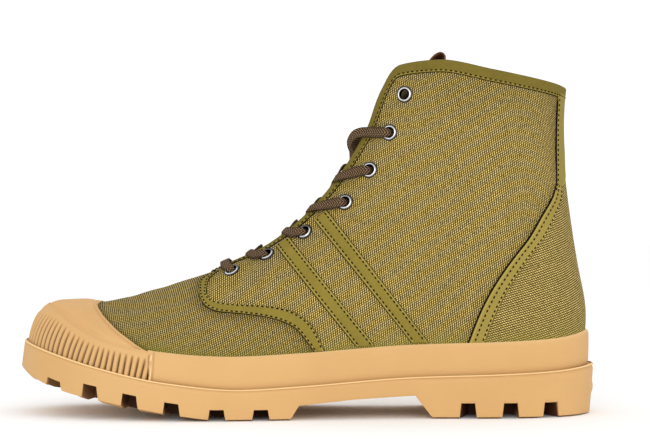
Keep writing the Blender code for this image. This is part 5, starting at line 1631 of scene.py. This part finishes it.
def make_loop():
    """Pull loop: a flat webbing section carried along an arch over the tongue's top edge, the arch
    tilted down to the medial side."""
    line = smooth_line(LOOP_LINE, 70)
    ahead = unit(np.gradient(line, axis=0))
    thick = np.stack([-ahead[:, 1], ahead[:, 0]], axis=1)
    half = LOOP_WIDE / 2
    wide = np.concatenate([np.linspace(-half, half, 15), np.linspace(half, -half, 15)])
    face = np.concatenate([np.full(15, 0.5), np.full(15, -0.5)]) * LOOP_THICK
    deep = face * np.sqrt(np.clip(1.0 - (np.abs(wide) / half) ** 14, 0.15, 1.0))
    flat = line[:, None] + thick[:, None] * deep[None, :, None]
    sunk = LOOP_TILT * (wide + half)[None] * smooth(182.6, 186.0, flat[..., 1])
    ring = np.stack([flat[..., 0], np.broadcast_to(wide, sunk.shape), flat[..., 1] - sunk], -1)
    uv = np.stack(np.broadcast_arrays(run_along(line)[:, None], wide[None]), -1)
    # the loop's inner face, marked for painted shade
    inside = np.broadcast_to((face < 0) & (np.abs(wide) < 0.9 * half), sunk.shape)
    make_piece("tongue_pull_loop", *join_lofts([ring]), [loop_webbing()], "loop_tape",
               nodes=["tongue_loop"], uv=uv.reshape(-1, 2), marks={"inside": inside.ravel()})


def make_eyelets():
    """Each eyelet is its section turned about the hole's axis, with a painted glint along the crest; on
    the lower ones the painted glint is dimmer on the upper side."""
    turn = np.linspace(0.0, 2 * math.pi, 40, endpoint=False)[:, None, None]
    radius, height = np.asarray(EYELET_PROFILE).T[:, None, :, None]
    crest = np.exp(-((radius - 3.22) / 0.36) ** 2) * smooth(0.3, 0.6, height)
    lit = np.cos(turn[..., 0] + math.radians(60.0))
    faces = loft_faces(len(turn), len(EYELET_PROFILE), True)
    for label, side in SIDES.items():
        stands = zip(*eyelet_stands(side), EYELET_GLINT_DIM)
        for n, (spot, out, level, up, glint_dim) in enumerate(stands, 1):
            ring = spot + radius * (np.cos(turn) * level + np.sin(turn) * up) + (height + 0.1) * out
            # painted glint along the crest, dimmed on the upper side of the lower eyelets
            painted_glint = crest[..., 0] * (1.0 - glint_dim * smooth(0.4, -0.4, lit))
            make_piece("eyelet_ring_%s_%d" % (label, n), ring.reshape(-1, 3), faces, [plated_metal()],
                       "eyelet_metal", nodes=["eyelet_%s_%d" % (label, n)],
                       marks={"painted_glint": painted_glint.ravel()}, crease=60.0)


def lace_run(path, ups, wide, thick, steps):
    """Flat lace: a rounded section |x|^4 + |y|^4 = 1 carried along a smooth path of points."""
    path = np.asarray(path, float)
    run = run_along(path)
    at = np.linspace(0.0, run[-1], steps)
    line = pchip(run, path, at)
    line[1:-1] = (line[:-2] + 2 * line[1:-1] + line[2:]) / 4
    up, wide, thick = [pchip(run, np.asarray(rows, float), at) for rows in (ups, wide, thick)]
    ahead = unit(np.gradient(line, axis=0))
    across = unit(np.cross(ahead, up))
    up = np.cross(across, ahead)
    turn = np.linspace(0.0, 2 * math.pi, 16, endpoint=False)
    flat = np.sign(np.cos(turn)) * np.abs(np.cos(turn)) ** 0.5
    tall = np.sign(np.sin(turn)) * np.abs(np.sin(turn)) ** 0.5
    ring = (line[:, None] + across[:, None] * (wide * flat)[..., None] / 2
            + up[:, None] * (thick * tall)[..., None] / 2)
    uv = np.stack(np.broadcast_arrays(run_along(line)[:, None], wide * flat / 2), -1)
    return ring, uv


def throat_u(x):
    """u of the throat edge point at x."""
    span = LAST.u_grid[:, 0] >= THROAT_U
    edge = LAST.samples[LATERAL][span, -1]
    return float(np.interp(x, edge[:, 0], LAST.u_grid[span, 0]))


def join_lace(name, node, runs):
    """One piece of lace from several runs of it."""
    rings, uv = zip(*runs)
    make_piece(name, *join_lofts(rings), [braided_lace()], "lace_brown", nodes=[node],
               uv=np.concatenate([part.reshape(-1, 2) for part in uv]), crease=60.0)


def through_eyelet(side, n):
    """Lace points from over an eyelet's rim down its hole: points, upper faces, widths, thicknesses."""
    spot, out, _, _ = [rows[n] for rows in eyelet_stands(side)]
    along, rise = LACE_WAYS[n - 1]
    toward = np.array([along, 0.0, rise])
    toward = unit(toward - out * (toward @ out))
    points = [spot + toward * before + out * above for before, above in LACE_DIVE]
    ups = [out, unit(out - toward * 0.15), unit(out * 0.7 - toward * 0.7), unit(out * 0.1 - toward), -toward]
    return points, ups, [1.1, 1.06, 0.9, 0.7, 0.7], [1.0, 1.05, 1.2, 1.4, 1.2]


def make_laces():
    """Flat lace: a bar over the lowest pair of eyelets and a crossing to every higher pair but the top
    one; each strand comes from under the far facing, over the near edge and into its eyelet."""
    wide = sizes().lace_width / MM
    thick = sizes().lace_thick / MM
    stands = {side: eyelet_stands(side) for side in SIDES.values()}
    left, right = [through_eyelet(side, len(EYELETS) - 1) for side in (LATERAL, MEDIAL)]
    edge_u = throat_u(LACE_BAR)
    crests = [LAST.at(side, edge_u, 1.0, 2.2) for side in (LATERAL, MEDIAL)]
    tilts = [LAST.normal(side, edge_u, 1.0) for side in (LATERAL, MEDIAL)]
    up = unit(np.array([-0.4, 0.0, 0.92]))
    middle = (crests[0] + crests[1]) / 2 + up * 0.4
    path = left[0][::-1] + [crests[0], middle, crests[1]] + right[0]
    ups = left[1][::-1] + [tilts[0], up, tilts[1]] + right[1]
    widths = np.array(left[2][::-1] + [1.0] * 3 + right[2]) * wide
    heights = np.array(left[3][::-1] + [1.0] * 3 + right[3]) * thick
    join_lace("lace_bottom_bar", "lace_bar", [lace_run(path, ups, widths, heights, 80)])
    for n, x in enumerate(LACE_CROSSINGS):
        runs = []
        far_u = throat_u(x - 5.5)
        for side, sink, forward, lift in ((MEDIAL, -0.6, 4.5, LACE_FAR_LIFT[n]), (LATERAL, 0.6, -0.5, 1.9)):
            near = through_eyelet(side, n + 1)
            far_spot, far_out = stands[-side][0][n + 2], stands[-side][1][n + 2]
            under = LAST.at(-side, far_u, 0.985, -2.7)
            gap = LAST.face(-side, far_u, 1.0) + np.array([0.0, side * 4.0, 0.0]) + LACE_UP * (-1.6 + sink)
            start = far_spot - far_out * 3.0
            half_way = (start + under) / 2 - far_out * 0.2
            path = [start, half_way, under, gap]
            ups = [far_out, far_out, far_out, LACE_UP]
            if n == 0:
                back = np.array([1.5 + 1.5 * side, 0.0, 0.0])
                path += [np.array([a, side * b, c]) + back for a, b, c in TOP_CURL]
                ups += [unit(np.array([a, side * b, c])) for a, b, c in TOP_CURL_FACES]
            else:
                cross_edge = LAST.face(side, throat_u(x - 2.0), 1.0) * (1.0, 0.0, 1.0)
                over_u = throat_u(x + forward)
                path += [cross_edge + LACE_UP * (0.2 + sink), LAST.at(side, over_u, 1.0, lift)]
                ups += [LACE_UP, unit(LAST.normal(side, over_u, 1.0) + LACE_UP)]
            count = len(path)
            folded = [1.0, 1.0] if n == 0 else [0.45, 0.78]
            widths = np.array([0.8] + [1.0] * (count - 3) + folded + near[2]) * wide
            heights = np.array([1.0] * count + near[3]) * thick
            runs.append(lace_run(path + near[0], ups + near[1], widths, heights, 100))
        join_lace("lace_row_%d" % (n + 1), "lace_cross_%d" % (n + 1), runs)


def aim(item, target):
    """Turns a light or camera to look at a point."""
    way = np.asarray(target, float) - np.asarray(item.location)
    flat = math.hypot(way[0], way[1])
    item.rotation_euler = (math.atan2(flat, -way[2]), 0.0, math.atan2(-way[0], way[1]))


def make_stage():
    """White floor and surround, a soft key light in front, a fill at the right front, and the camera."""
    scene = bpy.context.scene
    stage = scene.boot_stage
    scene.view_settings.view_transform = "Standard"
    world = bpy.data.worlds.new("studio")
    world.use_nodes = True
    surround = world.node_tree.nodes["Background"].inputs
    surround["Color"].default_value = (1.0, 1.0, 1.0, 1.0)
    surround["Strength"].default_value = stage.sky
    scene.world = world
    floor = Paint("studio_floor")
    colour = floor.mix(floor.noise(3.0, 2.0) * 0.02, stage.floor, FLOOR_CLOUD)
    reach = np.linspace(-8.0, 8.0, 3)
    grid = np.stack(np.meshgrid(reach, reach, [FLOOR_Z * MM], indexing="ij"), -1).reshape(-1, 3)
    mesh = bpy.data.meshes.new("studio_floor")
    mesh.from_pydata(grid.tolist(), [], quads(3, 3).tolist())
    mesh.materials.append(floor.finish(colour, 0.9, specular=0.0))
    ground = bpy.data.objects.new("studio_floor", mesh)
    scene.collection.objects.link(ground)
    for name, power, size, spot in (("key_light", stage.key, 1.4, (-0.1, -1.8, 0.45)),
                                    ("fill_light", stage.fill, 1.6, (1.0, -1.5, 0.45))):
        lamp = bpy.data.lights.new(name, "AREA")
        lamp.energy = power
        lamp.size = size
        item = bpy.data.objects.new(name, lamp)
        item.location = spot
        aim(item, (0.0, 0.0, 0.08))
        scene.collection.objects.link(item)
    lens = bpy.data.cameras.new("photo_camera")
    lens.sensor_fit = "HORIZONTAL"
    lens.sensor_width = 36.0
    lens.lens = 105.6
    camera = bpy.data.objects.new("photo_camera", lens)
    camera.location = (0.0094, -1.0, 0.0987)
    camera.rotation_euler = (math.pi / 2, 0.0, 0.0)
    scene.collection.objects.link(camera)
    scene.camera = camera


class BOOT_OT_upper(bpy.types.Operator):
    """Make the canvas upper with its lining and eyelet holes"""
    bl_idname = "boot.upper"
    bl_label = "Canvas Upper"

    def execute(self, context):
        make_upper()
        return {"FINISHED"}


class BOOT_OT_tongue(bpy.types.Operator):
    """Make the tongue and its pull loop"""
    bl_idname = "boot.tongue"
    bl_label = "Tongue"

    def execute(self, context):
        make_tongue()
        make_loop()
        return {"FINISHED"}


class BOOT_OT_tapes(bpy.types.Operator):
    """Sew on the quarter tapes, straps, heel tape and edge binding"""
    bl_idname = "boot.tapes"
    bl_label = "Tapes and Binding"

    def execute(self, context):
        make_quarter_tapes()
        make_straps()
        make_backstay()
        make_binding()
        return {"FINISHED"}


class BOOT_OT_rubber(bpy.types.Operator):
    """Mould the foxing, toe cap and ribbed toe bumper"""
    bl_idname = "boot.rubber"
    bl_label = "Foxing and Toe Rubber"

    def execute(self, context):
        make_foxing()
        make_toe_cap()
        make_toe_bumper()
        return {"FINISHED"}


class BOOT_OT_sole(bpy.types.Operator):
    """Mould the lugged outsole and lay the insole"""
    bl_idname = "boot.sole"
    bl_label = "Outsole and Insole"

    def execute(self, context):
        make_outsole()
        make_insole()
        return {"FINISHED"}


class BOOT_OT_eyelets(bpy.types.Operator):
    """Set the eyelets"""
    bl_idname = "boot.eyelets"
    bl_label = "Eyelets"

    def execute(self, context):
        make_eyelets()
        return {"FINISHED"}


class BOOT_OT_laces(bpy.types.Operator):
    """Thread the flat lace through the eyelets"""
    bl_idname = "boot.laces"
    bl_label = "Lace"

    def execute(self, context):
        make_laces()
        return {"FINISHED"}


class BOOT_OT_stage(bpy.types.Operator):
    """Set the floor, light and camera"""
    bl_idname = "boot.stage"
    bl_label = "Stage"

    def execute(self, context):
        make_stage()
        return {"FINISHED"}


class BOOT_PT_sidebar(bpy.types.Panel):
    """Sizes, colours and makers of the boot"""
    bl_idname = "BOOT_PT_sidebar"
    bl_label = "Canvas Ankle Boot"
    bl_space_type = "VIEW_3D"
    bl_region_type = "UI"
    bl_category = "Boot"

    def draw(self, context):
        for group in (context.scene.boot_sizes, context.scene.boot_colours, context.scene.boot_stage):
            box = self.layout.box()
            for name in group.__annotations__:
                box.prop(group, name)
        for maker in MAKERS:
            self.layout.operator(maker.bl_idname)


GROUPS = {"boot_sizes": BootSizes, "boot_colours": BootColours, "boot_stage": BootStage}
MAKERS = (BOOT_OT_upper, BOOT_OT_tongue, BOOT_OT_tapes, BOOT_OT_rubber, BOOT_OT_sole, BOOT_OT_eyelets,
          BOOT_OT_laces, BOOT_OT_stage)


def register():
    """Registers the classes and hangs the property groups on the scene."""
    for kind in (*GROUPS.values(), *MAKERS, BOOT_PT_sidebar):
        bpy.utils.register_class(kind)
    for name, kind in GROUPS.items():
        setattr(bpy.types.Scene, name, bpy.props.PointerProperty(type=kind))


def unregister():
    """Takes the property groups and the classes off again."""
    for name in GROUPS:
        delattr(bpy.types.Scene, name)
    for kind in reversed((*GROUPS.values(), *MAKERS, BOOT_PT_sidebar)):
        bpy.utils.unregister_class(kind)


def main():
    """Makes every piece and the stage."""
    register()
    bpy.ops.boot.upper()
    bpy.ops.boot.tongue()
    bpy.ops.boot.tapes()
    bpy.ops.boot.rubber()
    bpy.ops.boot.sole()
    bpy.ops.boot.eyelets()
    bpy.ops.boot.laces()
    bpy.ops.boot.stage()


if __name__ == "__main__":
    main()
